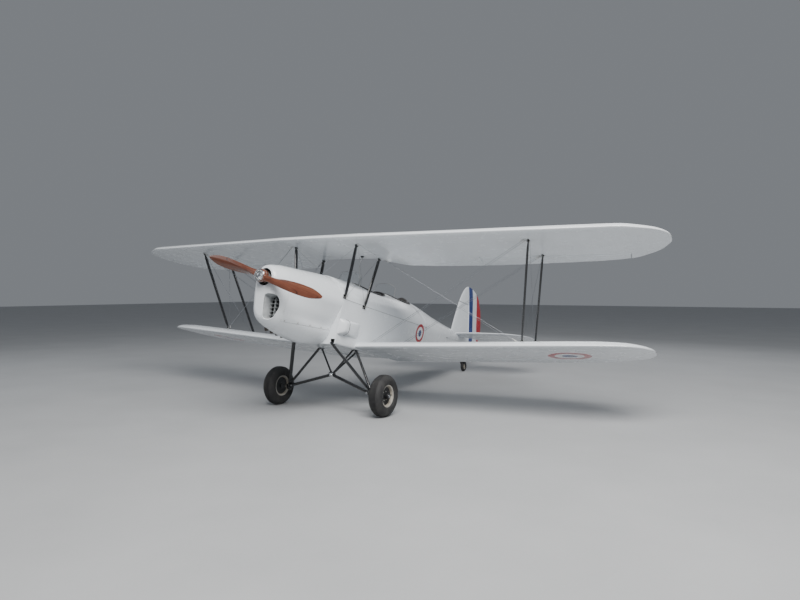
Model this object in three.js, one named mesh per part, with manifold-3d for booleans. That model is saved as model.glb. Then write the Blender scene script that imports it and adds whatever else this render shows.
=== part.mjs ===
// Two-seat open-cockpit training biplane, parked on its main wheels and tailwheel.
// Millimetres. +Z up, nose towards -Y, +X is the aircraft's port (left) side.
// The airframe is drawn level, in a frame whose origin is the front face of the
// propeller hub: x to port, y aft along the thrust line, z up. One group then
// turns it nose-up to the attitude in which it stands on its three wheels.
import * as THREE from 'three';
import { mergeVertices } from 'three/addons/utils/BufferGeometryUtils.js';
import Module from 'manifold-3d';

const wasm = await Module();
wasm.setup();

// ---------------------------------------------------------------- dimensions
const NOSE_UP = THREE.MathUtils.degToRad(12);   // attitude on the ground
const HUB_HEIGHT = 1806;                        // hub face above the ground
const HUB_Y = -3379.4;                           // hub face, from the middle of the length

const GAP = 0.4;                                // between pieces that rest on each other
const SURFACE_GAP = 7;                          // between a hinged surface and its bay

// wings
const CHORD_SLOPE_UPPER = -0.055, CHORD_SLOPE_LOWER = -0.050;
const UPPER = { rootX: 522, zLE: 700, dihedral: 0.036 };
const LOWER = { rootX: 338, zLE: -613, dihedral: 0.066 };
const HINGE_AFT = 962;                          // leading edge to aileron hinge
const AILERON_UPPER = { x0: 1870, x1: 3700 };
const AILERON_LOWER = { x0: 1500, x1: 3490 };

// wheels
const TYRE_R = 270, TYRE_W = 185, RIM_R = 142;
const WHEEL = { x: 873, y: 1642, z: -1221 };
const AXLE_R = 19;
const APEX = { x: 0, y: 1679, z: -1006 };       // joint of the two half axles
const TAILWHEEL_R = 105;

// propeller
const PROP_ANGLE = THREE.MathUtils.degToRad(-15.5);
const PROP_PLANE = 56, PROP_BOSS = { y0: 14, y1: 96, r: 78 };

// tail
const RUDDER_HINGE = { y: 6190, z: 275, slope: -0.155 };
const ELEVATOR_HINGE = { y: 5868, z: 120 };

// ------------------------------------------------------------------ materials
const paint = (color, roughness = 0.28, metalness = 0.0) =>
  new THREE.MeshStandardMaterial({ color, roughness, metalness });
const MAT = {
  white: paint(0xe9ecef), fabric: paint(0xe4e7ea, 0.4), black: paint(0x101114, 0.35),
  steel: paint(0xa9adb0, 0.3, 0.9), wood: paint(0x7c3a22, 0.3), rubber: paint(0x1b1c1d, 0.85),
  rim: paint(0xb5ab97, 0.5, 0.2), glass: paint(0xcfe0e6, 0.05), leather: paint(0x17181a, 0.6),
  iron: paint(0x6f7274, 0.5, 0.7), panel: paint(0x1c1d1f, 0.5), alu: paint(0xb9bdc0, 0.35, 0.9),
};

// -------------------------------------------------------------------- helpers
const V = (x, y, z) => new THREE.Vector3(x, y, z);

function signedVolume(pos, idx) {
  let v = 0;
  const a = V(), b = V(), c = V();
  for (let i = 0; i < idx.length; i += 3) {
    a.fromArray(pos, idx[i] * 3); b.fromArray(pos, idx[i + 1] * 3); c.fromArray(pos, idx[i + 2] * 3);
    v += a.dot(b.cross(c));
  }
  return v / 6;
}

function solid(pos, idx) {
  if (signedVolume(pos, idx) < 0) for (let i = 0; i < idx.length; i += 3) [idx[i], idx[i + 1]] = [idx[i + 1], idx[i]];
  const g = new THREE.BufferGeometry();
  g.setAttribute('position', new THREE.Float32BufferAttribute(pos, 3));
  g.setIndex(idx);
  return g;
}

// A closed solid through rings of points that all have the same count.
function loft(rings, closed = false) {
  const n = rings[0].length, pos = [], idx = [];
  for (const r of rings) for (const p of r) pos.push(p[0], p[1], p[2]);
  const last = closed ? rings.length : rings.length - 1;
  for (let i = 0; i < last; i++) {
    const a = i * n, b = ((i + 1) % rings.length) * n;
    for (let j = 0; j < n; j++) {
      const k = (j + 1) % n;
      idx.push(a + j, a + k, b + k, a + j, b + k, b + j);
    }
  }
  if (!closed) for (const r of [0, rings.length - 1]) {
    const ring = rings[r], nrm = V();
    for (let j = 0; j < n; j++) {
      const p = ring[j], q = ring[(j + 1) % n];
      nrm.x += (p[1] - q[1]) * (p[2] + q[2]); nrm.y += (p[2] - q[2]) * (p[0] + q[0]); nrm.z += (p[0] - q[0]) * (p[1] + q[1]);
    }
    const ax = Math.abs(nrm.x) > Math.abs(nrm.y) ? (Math.abs(nrm.x) > Math.abs(nrm.z) ? 0 : 2) : (Math.abs(nrm.y) > Math.abs(nrm.z) ? 1 : 2);
    const flat = ring.map((p) => new THREE.Vector2(p[(ax + 1) % 3], p[(ax + 2) % 3]));
    const order = flat.map((_, j) => j);
    if (THREE.ShapeUtils.area(flat) < 0) { flat.reverse(); order.reverse(); }
    for (const t of THREE.ShapeUtils.triangulateShape(flat, [])) idx.push(...t.map((j) => r * n + order[j]));
  }
  return solid(pos, fixCaps(pos, idx));
}

// Makes every triangle agree with its neighbours' winding.
function fixCaps(pos, idx) {
  const edge = new Map(), tris = idx.length / 3, done = new Uint8Array(tris), out = idx.slice();
  const key = (a, b) => (a < b ? a * 1e6 + b : b * 1e6 + a);
  for (let t = 0; t < tris; t++) for (let e = 0; e < 3; e++) {
    const k = key(idx[t * 3 + e], idx[t * 3 + (e + 1) % 3]);
    if (!edge.has(k)) edge.set(k, []);
    edge.get(k).push(t);
  }
  const dir = (t, a, b) => {
    for (let e = 0; e < 3; e++) if (out[t * 3 + e] === a && out[t * 3 + (e + 1) % 3] === b) return true;
    return false;
  };
  for (let s = 0; s < tris; s++) {
    if (done[s]) continue;
    done[s] = 1;
    const stack = [s];
    while (stack.length) {
      const t = stack.pop();
      for (let e = 0; e < 3; e++) {
        const a = out[t * 3 + e], b = out[t * 3 + (e + 1) % 3];
        for (const o of edge.get(key(a, b))) if (!done[o]) {
          if (dir(o, a, b)) [out[o * 3], out[o * 3 + 1]] = [out[o * 3 + 1], out[o * 3]];
          done[o] = 1; stack.push(o);
        }
      }
    }
  }
  return out;
}

// manifold-3d only joins and cuts.
function toManifold(geometry) {
  const g = geometry.clone();
  g.deleteAttribute('normal'); g.deleteAttribute('uv');
  const m = mergeVertices(g, 1e-3);
  return new wasm.Manifold(new wasm.Mesh({
    numProp: 3, vertProperties: new Float32Array(m.attributes.position.array), triVerts: new Uint32Array(m.index.array),
  }));
}
function fromManifold(m) {
  const mesh = m.getMesh(), g = new THREE.BufferGeometry(), k = mesh.numProp, n = mesh.vertProperties.length / k;
  const pos = new Float32Array(n * 3);
  for (let i = 0; i < n; i++) for (let c = 0; c < 3; c++) pos[i * 3 + c] = mesh.vertProperties[i * k + c];
  g.setAttribute('position', new THREE.BufferAttribute(pos, 3));
  g.setIndex(new THREE.BufferAttribute(new Uint32Array(mesh.triVerts), 1));
  return g;
}
const cut = (a, ...bs) => fromManifold(bs.reduce((m, b) => m.subtract(toManifold(b)), toManifold(a)));
const join = (a, ...bs) => fromManifold(bs.reduce((m, b) => m.add(toManifold(b)), toManifold(a)));
const common = (a, b) => fromManifold(toManifold(a).intersect(toManifold(b)));

const box = (x0, x1, y0, y1, z0, z1) =>
  new THREE.BoxGeometry(x1 - x0, y1 - y0, z1 - z0).translate((x0 + x1) / 2, (y0 + y1) / 2, (z0 + z1) / 2);

// A round rod from p to q.
function rod(p, q, r, sides = 10, r1 = r) {
  const a = V(...p), d = V(...q).sub(a), len = d.length();
  const g = new THREE.CylinderGeometry(r1, r, len, sides);
  g.translate(0, len / 2, 0);
  g.applyQuaternion(new THREE.Quaternion().setFromUnitVectors(V(0, 1, 0), d.normalize()));
  return g.translate(a.x, a.y, a.z);
}

// A strut from p to q with a streamlined section: chord along the airflow, thickness across it.
function strut(p, q, chord, thick) {
  const a = V(...p), b = V(...q), ax = b.clone().sub(a).normalize();
  const aft = V(0, 1, 0).addScaledVector(ax, -ax.y).normalize(), side = ax.clone().cross(aft);
  const shape = [[-0.5, 0], [-0.36, 0.40], [-0.1, 0.5], [0.2, 0.36], [0.5, 0.06], [0.5, -0.06], [0.2, -0.36], [-0.1, -0.5], [-0.36, -0.40]];
  return loft([a, b].map((o) => shape.map(([u, w]) => o.clone().addScaledVector(aft, u * chord).addScaledVector(side, w * thick).toArray())));
}

// An outline in the side view (y, z), extruded across x from -half to +half.
function sidePlate(outline, half, x = 0) {
  const s = new THREE.Shape(outline.map(([y, z]) => new THREE.Vector2(y, z)));
  const g = new THREE.ExtrudeGeometry(s, { depth: 2 * half, bevelEnabled: false, steps: 1 });
  // shape x -> y, shape y -> z, depth -> x
  g.applyMatrix4(new THREE.Matrix4().makeBasis(V(0, 1, 0), V(0, 0, 1), V(1, 0, 0)));
  return g.translate(x - half, 0, 0);
}

// An outline in plan (x, y), extruded up from z0 to z1.
function planPlate(outline, z0, z1) {
  const s = new THREE.Shape(outline.map(([x, y]) => new THREE.Vector2(x, y)));
  return new THREE.ExtrudeGeometry(s, { depth: z1 - z0, bevelEnabled: false, steps: 1 }).translate(0, 0, z0);
}

// A profile of (radius, along) turned about an axis through o, along X, Y or Z.
function turned(profile, o, axis, segments) {
  const g = new THREE.LatheGeometry(profile.map(([r, h]) => new THREE.Vector2(r, h)), segments);
  if (axis === 'x') g.rotateZ(-Math.PI / 2);
  if (axis === 'z') g.rotateX(Math.PI / 2);
  return g.translate(...o);
}

const mirrorX = (geometry) => {
  const g = geometry.clone().scale(-1, 1, 1);
  const i = g.index.array;
  for (let t = 0; t < i.length; t += 3) [i[t], i[t + 1]] = [i[t + 1], i[t]];
  return g;
};

// Linear interpolation in a table whose first column is the key.
function at(table, key) {
  if (key <= table[0][0]) return table[0];
  for (let i = 1; i < table.length; i++) if (key <= table[i][0]) {
    const a = table[i - 1], b = table[i], t = (key - a[0]) / (b[0] - a[0]);
    return a.map((v, c) => v + (b[c] - v) * t);
  }
  return table[table.length - 1];
}

// ------------------------------------------------------------------- fuselage
// y, half width at the lower longeron, half width at the upper longeron, z of the
// bottom, z of the upper longeron, z of the crown, and two exponents of the top's
// curve: it is round in front and has a ridge behind the rear cockpit
const FUSELAGE = [
  [1178, 345, 400, -640, -40, 272, 2, 0.5],
  [1800, 350, 410, -648, -48, 303, 1.8, 0.5],
  [2700, 345, 405, -650, -45, 335, 1.8, 0.5],
  [3300, 325, 390, -608, -40, 362, 1.6, 0.54],
  [3625, 308, 372, -572, -33, 368, 1.2, 0.6],
  [4440, 245, 300, -430, -5, 275, 1.2, 0.6],
  [5390, 125, 160, -235, 50, 200, 1.2, 0.6],
  [6120, 27, 31, -80, 88, 180, 2, 0.5],
  [6230, 24, 26, -62, 92, 178, 2, 0.5],
];
const ARCH = [18, 36, 54, 72, 82];
// A point of the top's curve, a degrees up from the longeron and moved out by o.
function archPoint(y, a, o = 0) {
  const [, , wt, , zl, zc, p, r] = at(FUSELAGE, y), s = Math.abs(Math.cos(THREE.MathUtils.degToRad(a)));
  return [Math.sign(90 - a) * (wt + o) * s, zl + (zc + o - zl) * Math.max(0, 1 - s ** p) ** r];
}
// One ring of the fuselage section, moved out by o (in when negative).
function fuselageRing(y, o = 0, table = FUSELAGE) {
  const [, wb, wt, zb, zl, zc] = at(table, y);
  const half = [[wb - 22, zb - o], [wb + o, zb + 22], [wt + o, zl]];
  for (const a of ARCH) half.push(archPoint(y, a, o));
  return [...half.map(([x, z]) => [x, y, z]), [0, y, zc + o], ...half.slice().reverse().map(([x, z]) => [-x, y, z])];
}
const fuselageBody = (y0, y1, o = 0) => {
  const ys = [y0, ...FUSELAGE.map((r) => r[0]).filter((y) => y > y0 + 1 && y < y1 - 1), y1];
  return loft(ys.map((y) => fuselageRing(y, o)));
};
const outer = fuselageBody(1178, 6230, GAP);           // what other pieces are trimmed against

// The tub: sides and bottom up to the upper longerons, with a floor and the
// bulkhead behind the rear seat.
const WALL = 12;
function tubRing(y) {
  const [, wb, wt, zb, zl] = at(FUSELAGE, y);
  const out = [[wt, zl - GAP], [wb, zb + 22], [wb - 22, zb]];
  const inn = [[wb - 22 - 6, zb + WALL], [wb - WALL, zb + 22 + 6], [wt - WALL, zl - GAP]];
  const pts = [...out, ...out.slice().reverse().map(([x, z]) => [-x, z]), ...inn.slice().reverse().map(([x, z]) => [-x, z]), ...inn];
  return pts.map(([x, z]) => [x, y, z]);
}
const TUB_Y = [1178, 1800, 2700, 3300, 3620];
const tubShell = loft(TUB_Y.map(tubRing));
const floorPlate = box(-338, 338, 1250, 3480, -545, -533);
const bulkhead = loft([3590, 3602].map((y) => fuselageRing(y, -16).map(([x, yy, z]) => [x, yy, Math.min(z, -62)])));
const floorTrim = cut(floorPlate, box(-400, 400, 3500, 3600, -600, 0));
const tub = join(tubShell, common(floorTrim, fuselageBody(1200, 3600, -8)), common(bulkhead, fuselageBody(1200, 3610, -8)));

// The top decking from the firewall to behind the rear cockpit, with both openings.
const DECK = 9;
function deckRing(y) {
  const [, , wt, , zl] = at(FUSELAGE, y);
  const arc = (o) => [...ARCH, 90, ...ARCH.slice().reverse().map((a) => 180 - a)].map((a) => archPoint(y, a, o));
  return [[wt, zl], ...arc(0), [-wt, zl], [-wt + DECK, zl], ...arc(-DECK).reverse(), [wt - DECK, zl]].map(([x, z]) => [x, y, z]);
}
// centre y, half length, half width
const COCKPITS = { front: [2190, 365, 262], rear: [3060, 350, 215] };
const opening = ([cy, hl, hw]) => {
  const pts = [];
  for (let i = 0; i < 24; i++) {
    const a = (i / 24) * 2 * Math.PI, c = Math.cos(a), s = Math.sin(a);
    pts.push([hw * Math.sign(c) * Math.abs(c) ** 0.7, cy + hl * Math.sign(s) * Math.abs(s) ** 0.7]);
  }
  return pts;
};
const DECK_Y = [1178, 1800, 2250, 2700, 3300, 3620];
const decking = cut(loft(DECK_Y.map(deckRing)),
  planPlate(opening(COCKPITS.front), 60, 500), planPlate(opening(COCKPITS.rear), 60, 500));

// The rear fuselage: a shell as far as the tail, solid where the sternpost is.
const REAR_Y0 = 3621, REAR_Y1 = 6230;
const hingeY = (z) => RUDDER_HINGE.y + RUDDER_HINGE.slope * (z - RUDDER_HINGE.z);
const POST = 23 + SURFACE_GAP;                  // sternpost face, ahead of the rudder hinge
const behindPost = sidePlate([[hingeY(-300) - POST, -300], [hingeY(1000) - POST, 1000], [6900, 1000], [6900, -300]], 200);
const hollow = loft([3600, 4440, 5390, 5700].map((y) => fuselageRing(Math.max(y, 3600), -14)));
const torqueHole = rod([-300, ELEVATOR_HINGE.y, ELEVATOR_HINGE.z], [300, ELEVATOR_HINGE.y, ELEVATOR_HINGE.z], 24, 16);
const rearFuselage = cut(fuselageBody(REAR_Y0, REAR_Y1), hollow, torqueHole, behindPost);

// The lower corners of the plate are notched for the front gear legs.
const firewall = cut(loft([1170, 1176].map((y) => fuselageRing(1178, 0).map(([x, , z]) => [x, y, z]))),
  box(278, 420, 1165, 1180, -700, -572), box(-420, -278, 1165, 1180, -700, -572));

// ----------------------------------------------------------------------- cowl
// y, crown z, half width, z of it, half width at the start of the lower curve, z of it, bottom z
const COWL = [
  [108, 128, 118, -12, 100, -325, -468],
  [128, 146, 142, -18, 128, -340, -503],
  [165, 160, 168, -28, 152, -350, -532],
  [225, 174, 203, -38, 178, -362, -556],
  [320, 190, 242, -50, 202, -375, -588],
  [620, 218, 318, -80, 228, -395, -656],
  [900, 246, 366, -98, 244, -410, -684],
  [1166, 268, 398, -110, 256, -425, -664],
];
function cowlRing(y, o = 0) {
  const [, zt, wu, zu, wl, zl, zb] = at(COWL, y);
  const half = [[0, zt + o]];
  for (const a of [68, 45, 22]) {
    const r = THREE.MathUtils.degToRad(a);
    half.push([(wu + o) * Math.cos(r), zu + (zt + o - zu) * Math.sin(r)]);
  }
  half.push([wu + o, zu], [(wu + wl) / 2 + o + 6, (zu + zl) / 2], [wl + o, zl]);
  for (const a of [28, 58]) {
    const r = THREE.MathUtils.degToRad(a);
    half.push([(wl + o) * Math.cos(r), zl + (zb - o - zl) * Math.sin(r)]);
  }
  return [...half.map(([x, z]) => [x, y, z]), [0, y, zb - o], ...half.slice(1).reverse().map(([x, z]) => [-x, y, z])];
}
const COWL_SKIN = 5, NOSE_END = 300;
const cowlBody = (y0, y1, o = 0) =>
  loft([y0, ...COWL.map((r) => r[0]).filter((y) => y > y0 + 1 && y < y1 - 1), y1].map((y) => cowlRing(y, o)));

const shaftOpening = rod([0, 60, 0], [0, 400, 0], 106, 28);
const intake = loft([[60], [280]].map(([y]) =>
  [[36, -212], [60, -198], [130, -193], [166, -202], [184, -250], [184, -310], [174, -375], [146, -450], [112, -486], [70, -498], [44, -484], [36, -440]].map(([x, z]) => [x, y, z])));
const noseBowl = cut(cowlBody(108, NOSE_END), loft([125, 165, 225, 300.5].map((y) => cowlRing(y, -COWL_SKIN - (y < 130 ? 6 : 0)))), shaftOpening, intake);

const cowlShell = cut(cowlBody(NOSE_END + 1, 1165), loft([300, 620, 900, 1170].map((y) => cowlRing(y, -COWL_SKIN))));
// the lower seam rises towards the firewall; the upper one is the top centre line
const seam = (y0, y1, up) => sidePlate([[y0, -500 + up], [y1, -462 + up], [y1, -900], [y0, -900]], 600);
const cowlPort = cut(common(cowlShell, box(0.5, 600, 200, 1300, -900, 600)), seam(200, 1300, 0.6));
const cowlBottomPan = common(cowlShell, seam(200, 1300, -0.6));
const exhaustSlot = box(-128, -62, 310, 700, -900, -400);
const cowlBottom = cut(cowlBottomPan, exhaustSlot);

// engine: inverted four-cylinder in-line block on two bearers
const engine = join(box(-105, 105, 330, 1010, -455, -70), box(-135, 135, 470, 940, -70, 60),
  box(-135, -95, 900, 1169.6, -180, -120), box(95, 135, 900, 1169.6, -180, -120),
  box(-118, -72, 320, 680, -530, -450), ...[[330, -598], [428, -614], [526, -628], [624, -642]].map(([y, z]) => rod([-95, y, -505], [-95, y + 42, z], 20, 10)));

// the blister behind the cowl on the port side
const scoopSide = [[1180, 330], [1180, 398], [1215, 436], [1270, 450], [1311, 446], [1312, 404], [1420, 416], [1560, 404], [1650, 376], [1650, 330]];
const scoop = cut(planPlate(scoopSide.map(([y, x]) => [x, y]), -505, -300), fuselageBody(1177.5, 2000, GAP));

// ------------------------------------------------------------------ propeller
// radius, chord, thickness, pitch in degrees
const BLADE = [
  [40, 96, 72, 50],
  [110, 94, 66, 46],
  [220, 104, 44, 37],
  [380, 128, 30, 28],
  [560, 140, 21, 21],
  [740, 128, 15, 17],
  [870, 80, 11, 14],
  [925, 44, 9, 13],
  [948, 18, 7, 13],
];
// chordwise, forward of the flat face, in half chords and thicknesses
const BLADE_SECTION = [[1, 0.12], [0.72, 0.62], [0.3, 0.98], [-0.2, 0.9], [-0.65, 0.5], [-1, 0.1], [-0.65, 0.0], [0, -0.02], [0.7, 0.0]];
function blade(angle) {
  const out = V(Math.cos(angle), 0, Math.sin(angle)), run = V(Math.sin(angle), 0, -Math.cos(angle)), fwd = V(0, -1, 0);
  return loft(BLADE.map(([r, c, t, pitch]) => {
    const b = THREE.MathUtils.degToRad(pitch);
    const chord = run.clone().multiplyScalar(Math.cos(b)).addScaledVector(fwd, Math.sin(b));
    const face = fwd.clone().multiplyScalar(Math.cos(b)).addScaledVector(run, -Math.sin(b));
    return BLADE_SECTION.map(([u, w]) => V(0, PROP_PLANE, 0).addScaledVector(out, r).addScaledVector(chord, u * c / 2)
      .addScaledVector(face, (w - 0.45) * t).toArray());
  }));
}
const boss = turned([[0, PROP_BOSS.y0], [66, PROP_BOSS.y0], [PROP_BOSS.r, PROP_BOSS.y0 + 12], [PROP_BOSS.r, PROP_BOSS.y1 - 10], [68, PROP_BOSS.y1], [0, PROP_BOSS.y1]], [0, 0, 0], 'y', 28);
const propeller = cut(join(boss, blade(PROP_ANGLE), blade(PROP_ANGLE + Math.PI)),
  rod([0, -50, 0], [0, 200, 0], 30.5, 20),
  box(-200, 200, -60, PROP_BOSS.y0, -200, 200), box(-200, 200, PROP_BOSS.y1, 200, -200, 200));
const hub = turned([[0, 0], [62, 0], [70, 4], [70, PROP_BOSS.y0 - GAP], [30, PROP_BOSS.y0 - GAP], [30, PROP_BOSS.y1 + GAP], [74, PROP_BOSS.y1 + GAP], [74, PROP_BOSS.y1 + 9], [36, PROP_BOSS.y1 + 14], [34, 322], [0, 322]], [0, 0, 0], 'y', 24);

// ---------------------------------------------------------------------- wings
// Aerofoil: fraction of the chord, height above the chord line as a fraction of 1200 mm.
const AEROFOIL = [
  [0.0, 0.004], [0.012, 0.026], [0.05, 0.050], [0.14, 0.075], [0.28, 0.085], [0.45, 0.078], [0.62, 0.058], [0.80, 0.031], [1.0, 0.004],
  [1.0, -0.003], [0.75, -0.007], [0.45, -0.012], [0.15, -0.014], [0.04, -0.012], [0.01, -0.006],
];
// x, y of the leading edge, y of the trailing edge, thickness factor
const UPPER_PLAN = [
  [0, 905, 1765, 0.86],
  [380, 907, 1790, 0.86],
  [520, 910, 1905, 0.90],
  [800, 952, 2172, 1],
  [3000, 1282, 2500, 1],
  [3400, 1342, 2520, 0.97],
  [3720, 1392, 2486, 0.90],
  [3900, 1475, 2375, 0.76],
  [4050, 1562, 2240, 0.55],
  [4140, 1660, 2085, 0.34],
  [4187, 1800, 1960, 0.16],
];
const LOWER_PLAN = [
  [330, 1623, 2843, 1],
  [3000, 1969, 3189, 1],
  [3300, 2010, 3205, 0.97],
  [3500, 2055, 3170, 0.91],
  [3700, 2110, 3075, 0.76],
  [3850, 2205, 3005, 0.55],
  [3940, 2330, 2850, 0.36],
  [3985, 2490, 2700, 0.17],
];
const chordZ = (w, slope, x, y, plan) => w.zLE + w.dihedral * (Math.max(x, w.rootX) - w.rootX) + slope * (y - leadY(plan, w, x));
const leadY = (plan, w, x) => (w === UPPER ? 910 + 0.15 * Math.max(0, x - 520) : 1623 + 0.1296 * Math.max(0, x - 330));
function wingRing(plan, w, slope, x) {
  const [, le, te, k] = at(plan, x);
  return AEROFOIL.map(([u, h]) => {
    const y = le + u * (te - le);
    return [x, y, chordZ(w, slope, x, y, plan) + h * 1200 * k * (h < 0 ? Math.min(1, k + 0.1) : 1)];
  });
}
const wingBody = (plan, w, slope, x0, x1) => {
  const xs = [x0, ...plan.map((r) => r[0]).filter((x) => x > x0 + 1 && x < x1 - 1), x1];
  return loft(xs.map((x) => wingRing(plan, w, slope, x)));
};
const wingTop = (plan, w, slope, x, y) => {
  const [, le, te, k] = at(plan, x), u = (y - le) / (te - le);
  return chordZ(w, slope, x, y, plan) + at(AEROFOIL.slice(0, 9), u)[1] * 1200 * k;
};
const wingUnder = (plan, w, slope, x, y) => {
  const [, le, te, k] = at(plan, x), u = (y - le) / (te - le);
  return chordZ(w, slope, x, y, plan) + at(AEROFOIL.slice(9).reverse(), u)[1] * 1200 * k;
};

// Ailerons: round nose on the hinge line, ends square to the hinge.
function aileronFrame(plan, w, slope, a) {
  const pt = (x) => {
    const y = leadY(plan, w, x) + HINGE_AFT;
    return V(x, y, (wingTop(plan, w, slope, x, y) + wingUnder(plan, w, slope, x, y)) / 2);
  };
  const p0 = pt(a.x0), p1 = pt(a.x1);
  return { p0, p1, dir: p1.clone().sub(p0).normalize() };
}
function aileron(plan, w, slope, a) {
  const f = aileronFrame(plan, w, slope, a);
  const ring = (x) => {
    const t = (x - a.x0) / (a.x1 - a.x0), o = f.p0.clone().lerp(f.p1, t);
    const [, , te] = at(plan, x);
    const top = wingTop(plan, w, slope, x, o.y), und = wingUnder(plan, w, slope, x, o.y), r = (top - und) / 2 - 0.5;
    const pts = [];
    for (const d of [90, 130, 180, 230, 270]) {
      const q = THREE.MathUtils.degToRad(d);
      pts.push([o.y + r * Math.cos(q), o.z + r * Math.sin(q)]);
    }
    const zt = chordZ(w, slope, x, te, plan);
    pts.push([te, zt - 3], [te, zt + 4]);
    const mid = (o.y + te) / 2;
    pts.push([mid, wingTop(plan, w, slope, x, mid)]);
    // the ends are square to the hinge line, so they stay clear as the aileron turns
    return pts.map(([y, z]) => [x - (f.dir.y * (y - o.y) + f.dir.z * (z - o.z)) / f.dir.x, y, z]);
  };
  return loft([a.x0, a.x0 + 400, (a.x0 + a.x1) / 2, a.x1 - 400, a.x1].map(ring));
}
function aileronBay(plan, w, slope, a) {
  const f = aileronFrame(plan, w, slope, a), reach = 420, r = 31 + SURFACE_GAP;
  const k = f.dir.y / f.dir.x;
  const corner = (o, along, aft) => [o.x + along - k * aft, o.y + aft + k * along];
  return planPlate([corner(f.p0, -SURFACE_GAP - 3, -r), corner(f.p1, SURFACE_GAP + 3, -r), corner(f.p1, SURFACE_GAP + 3, reach), corner(f.p0, -SURFACE_GAP - 3, reach)], -1500, 1500);
}

const centreSection = (() => {
  const xs = [-521, -380, 0, 380, 521];
  return loft(xs.map((x) => wingRing(UPPER_PLAN, UPPER, CHORD_SLOPE_UPPER, Math.abs(x)).map(([, y, z]) => [x, y, z])));
})();
const upperWing = cut(wingBody(UPPER_PLAN, UPPER, CHORD_SLOPE_UPPER, 522, 4187), aileronBay(UPPER_PLAN, UPPER, CHORD_SLOPE_UPPER, AILERON_UPPER));
const lowerWing = cut(wingBody(LOWER_PLAN, LOWER, CHORD_SLOPE_LOWER, 340, 3985), aileronBay(LOWER_PLAN, LOWER, CHORD_SLOPE_LOWER, AILERON_LOWER), outer);
const upperAileron = aileron(UPPER_PLAN, UPPER, CHORD_SLOPE_UPPER, AILERON_UPPER);
const lowerAileron = aileron(LOWER_PLAN, LOWER, CHORD_SLOPE_LOWER, AILERON_LOWER);

// --------------------------------------------------------------------- struts
const under = (x, y) => wingUnder(UPPER_PLAN, UPPER, CHORD_SLOPE_UPPER, x, y);
const above = (x, y) => wingTop(LOWER_PLAN, LOWER, CHORD_SLOPE_LOWER, x, y);
const upperSolid = join(centreSection, wingBody(UPPER_PLAN, UPPER, CHORD_SLOPE_UPPER, 522, 4187)).translate(0, 0, -GAP);
const lowerSolid = wingBody(LOWER_PLAN, LOWER, CHORD_SLOPE_LOWER, 340, 3985).translate(0, 0, GAP);
const centreSolid = centreSection.clone().translate(0, 0, -GAP);
// piece, foot x y z, head x y, chord, thickness
const CABANE = [
  ['front', [412, 1194, -12], [500, 1180], 62, 26],
  ['rear', [420, 1655, -66], [480, 1800], 62, 26],
];
const INTERPLANE = [
  ['front', [2500, 2110], [2684, 1525], 56, 24],
  ['rear', [2475, 2745], [2690, 2120], 56, 24],
];
const cabane = Object.fromEntries(CABANE.map(([n, foot, head, c, t]) => {
  const top = [head[0], head[1], under(head[0], head[1]) + 12];
  return [n, cut(strut(foot, top, c, t), centreSolid, outer)];
}));
const interplane = Object.fromEntries(INTERPLANE.map(([n, foot, head, c, t]) => {
  const a = [foot[0], foot[1], above(foot[0], foot[1]) - 14], b = [head[0], head[1], under(head[0], head[1]) + 10];
  return [n, cut(strut(a, b, c, t), upperSolid, lowerSolid)];
}));

// Main stays: a flying wire and a landing wire to each truss. They pass 14 mm apart where they cross.
const STAYS = [
  // truss, lower inner x y, upper outer x y, upper inner x y, lower outer x y
  ['front', [395, 1927], [2655, 1478], [535, 1135], [2455, 2043]],
  ['rear', [395, 2486], [2645, 2166], [535, 1850], [2430, 2806]],
];
const STAY_R = 3.5;
const stays = STAYS.flatMap(([n, li, uo, ui, lo]) => {
  const wire = (a, b) => cut(rod(a, b, STAY_R, 6), upperSolid, lowerSolid, outer);
  return [
    [`flying_wire_${n}`, wire([...li, above(Math.max(li[0], 345), li[1]) - 3], [...uo, under(uo[0], uo[1]) + 3])],
    [`landing_wire_${n}`, wire([...ui, under(ui[0], ui[1]) + 3], [...lo, above(lo[0], lo[1]) - 3])],
  ];
});

// --------------------------------------------------------------- landing gear
const LEG_FOOT = [680, 1646, -1190];
const gearPort = cut(join(
  strut([300, 1150, -612], LEG_FOOT, 60, 36), strut([276, 1747, -600], LEG_FOOT, 52, 32),
  rod([34, APEX.y - 1, APEX.z - 10], [700, WHEEL.y, WHEEL.z + 2], 21, 12),
  rod([676, WHEEL.y, WHEEL.z], [968, WHEEL.y, WHEEL.z], AXLE_R, 16),
  rod([662, WHEEL.y, WHEEL.z], [702, WHEEL.y, WHEEL.z], 40, 16)), outer, lowerSolid.clone().translate(0, 0, -2 * GAP));
const pyramid = cut(join(
  turned([[0, -33], [26, -33], [26, 33], [0, 33]], [0, APEX.y, APEX.z], 'x', 16),
  rod([0, APEX.y, APEX.z], [300, 1735, -600], 13, 8), rod([0, APEX.y, APEX.z], [-300, 1735, -600], 13, 8),
  rod([0, APEX.y, APEX.z], [0, 2260, -600], 14, 8)), outer, gearPort, mirrorX(gearPort));

const half = TYRE_W / 2;
const tyre = turned([[RIM_R, -60], [RIM_R + 16, -74], [170, -half + 3], [208, -half], [242, -72], [262, -44], [TYRE_R, -18], [TYRE_R, 18], [262, 44], [242, 72], [208, half], [170, half - 3], [RIM_R + 16, 74], [RIM_R, 60], [RIM_R, -60]], [0, 0, 0], 'x', 36);
const wheelDisc = turned([[AXLE_R + 0.5, -78], [44, -78], [44, -50], [120, -38], [128, -62], [RIM_R - 1, -66], [RIM_R - 1, 66], [128, 62], [120, 30], [40, 26], [38, 84], [AXLE_R + 0.5, 84], [AXLE_R + 0.5, -78]], [0, 0, 0], 'x', 32);

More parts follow.
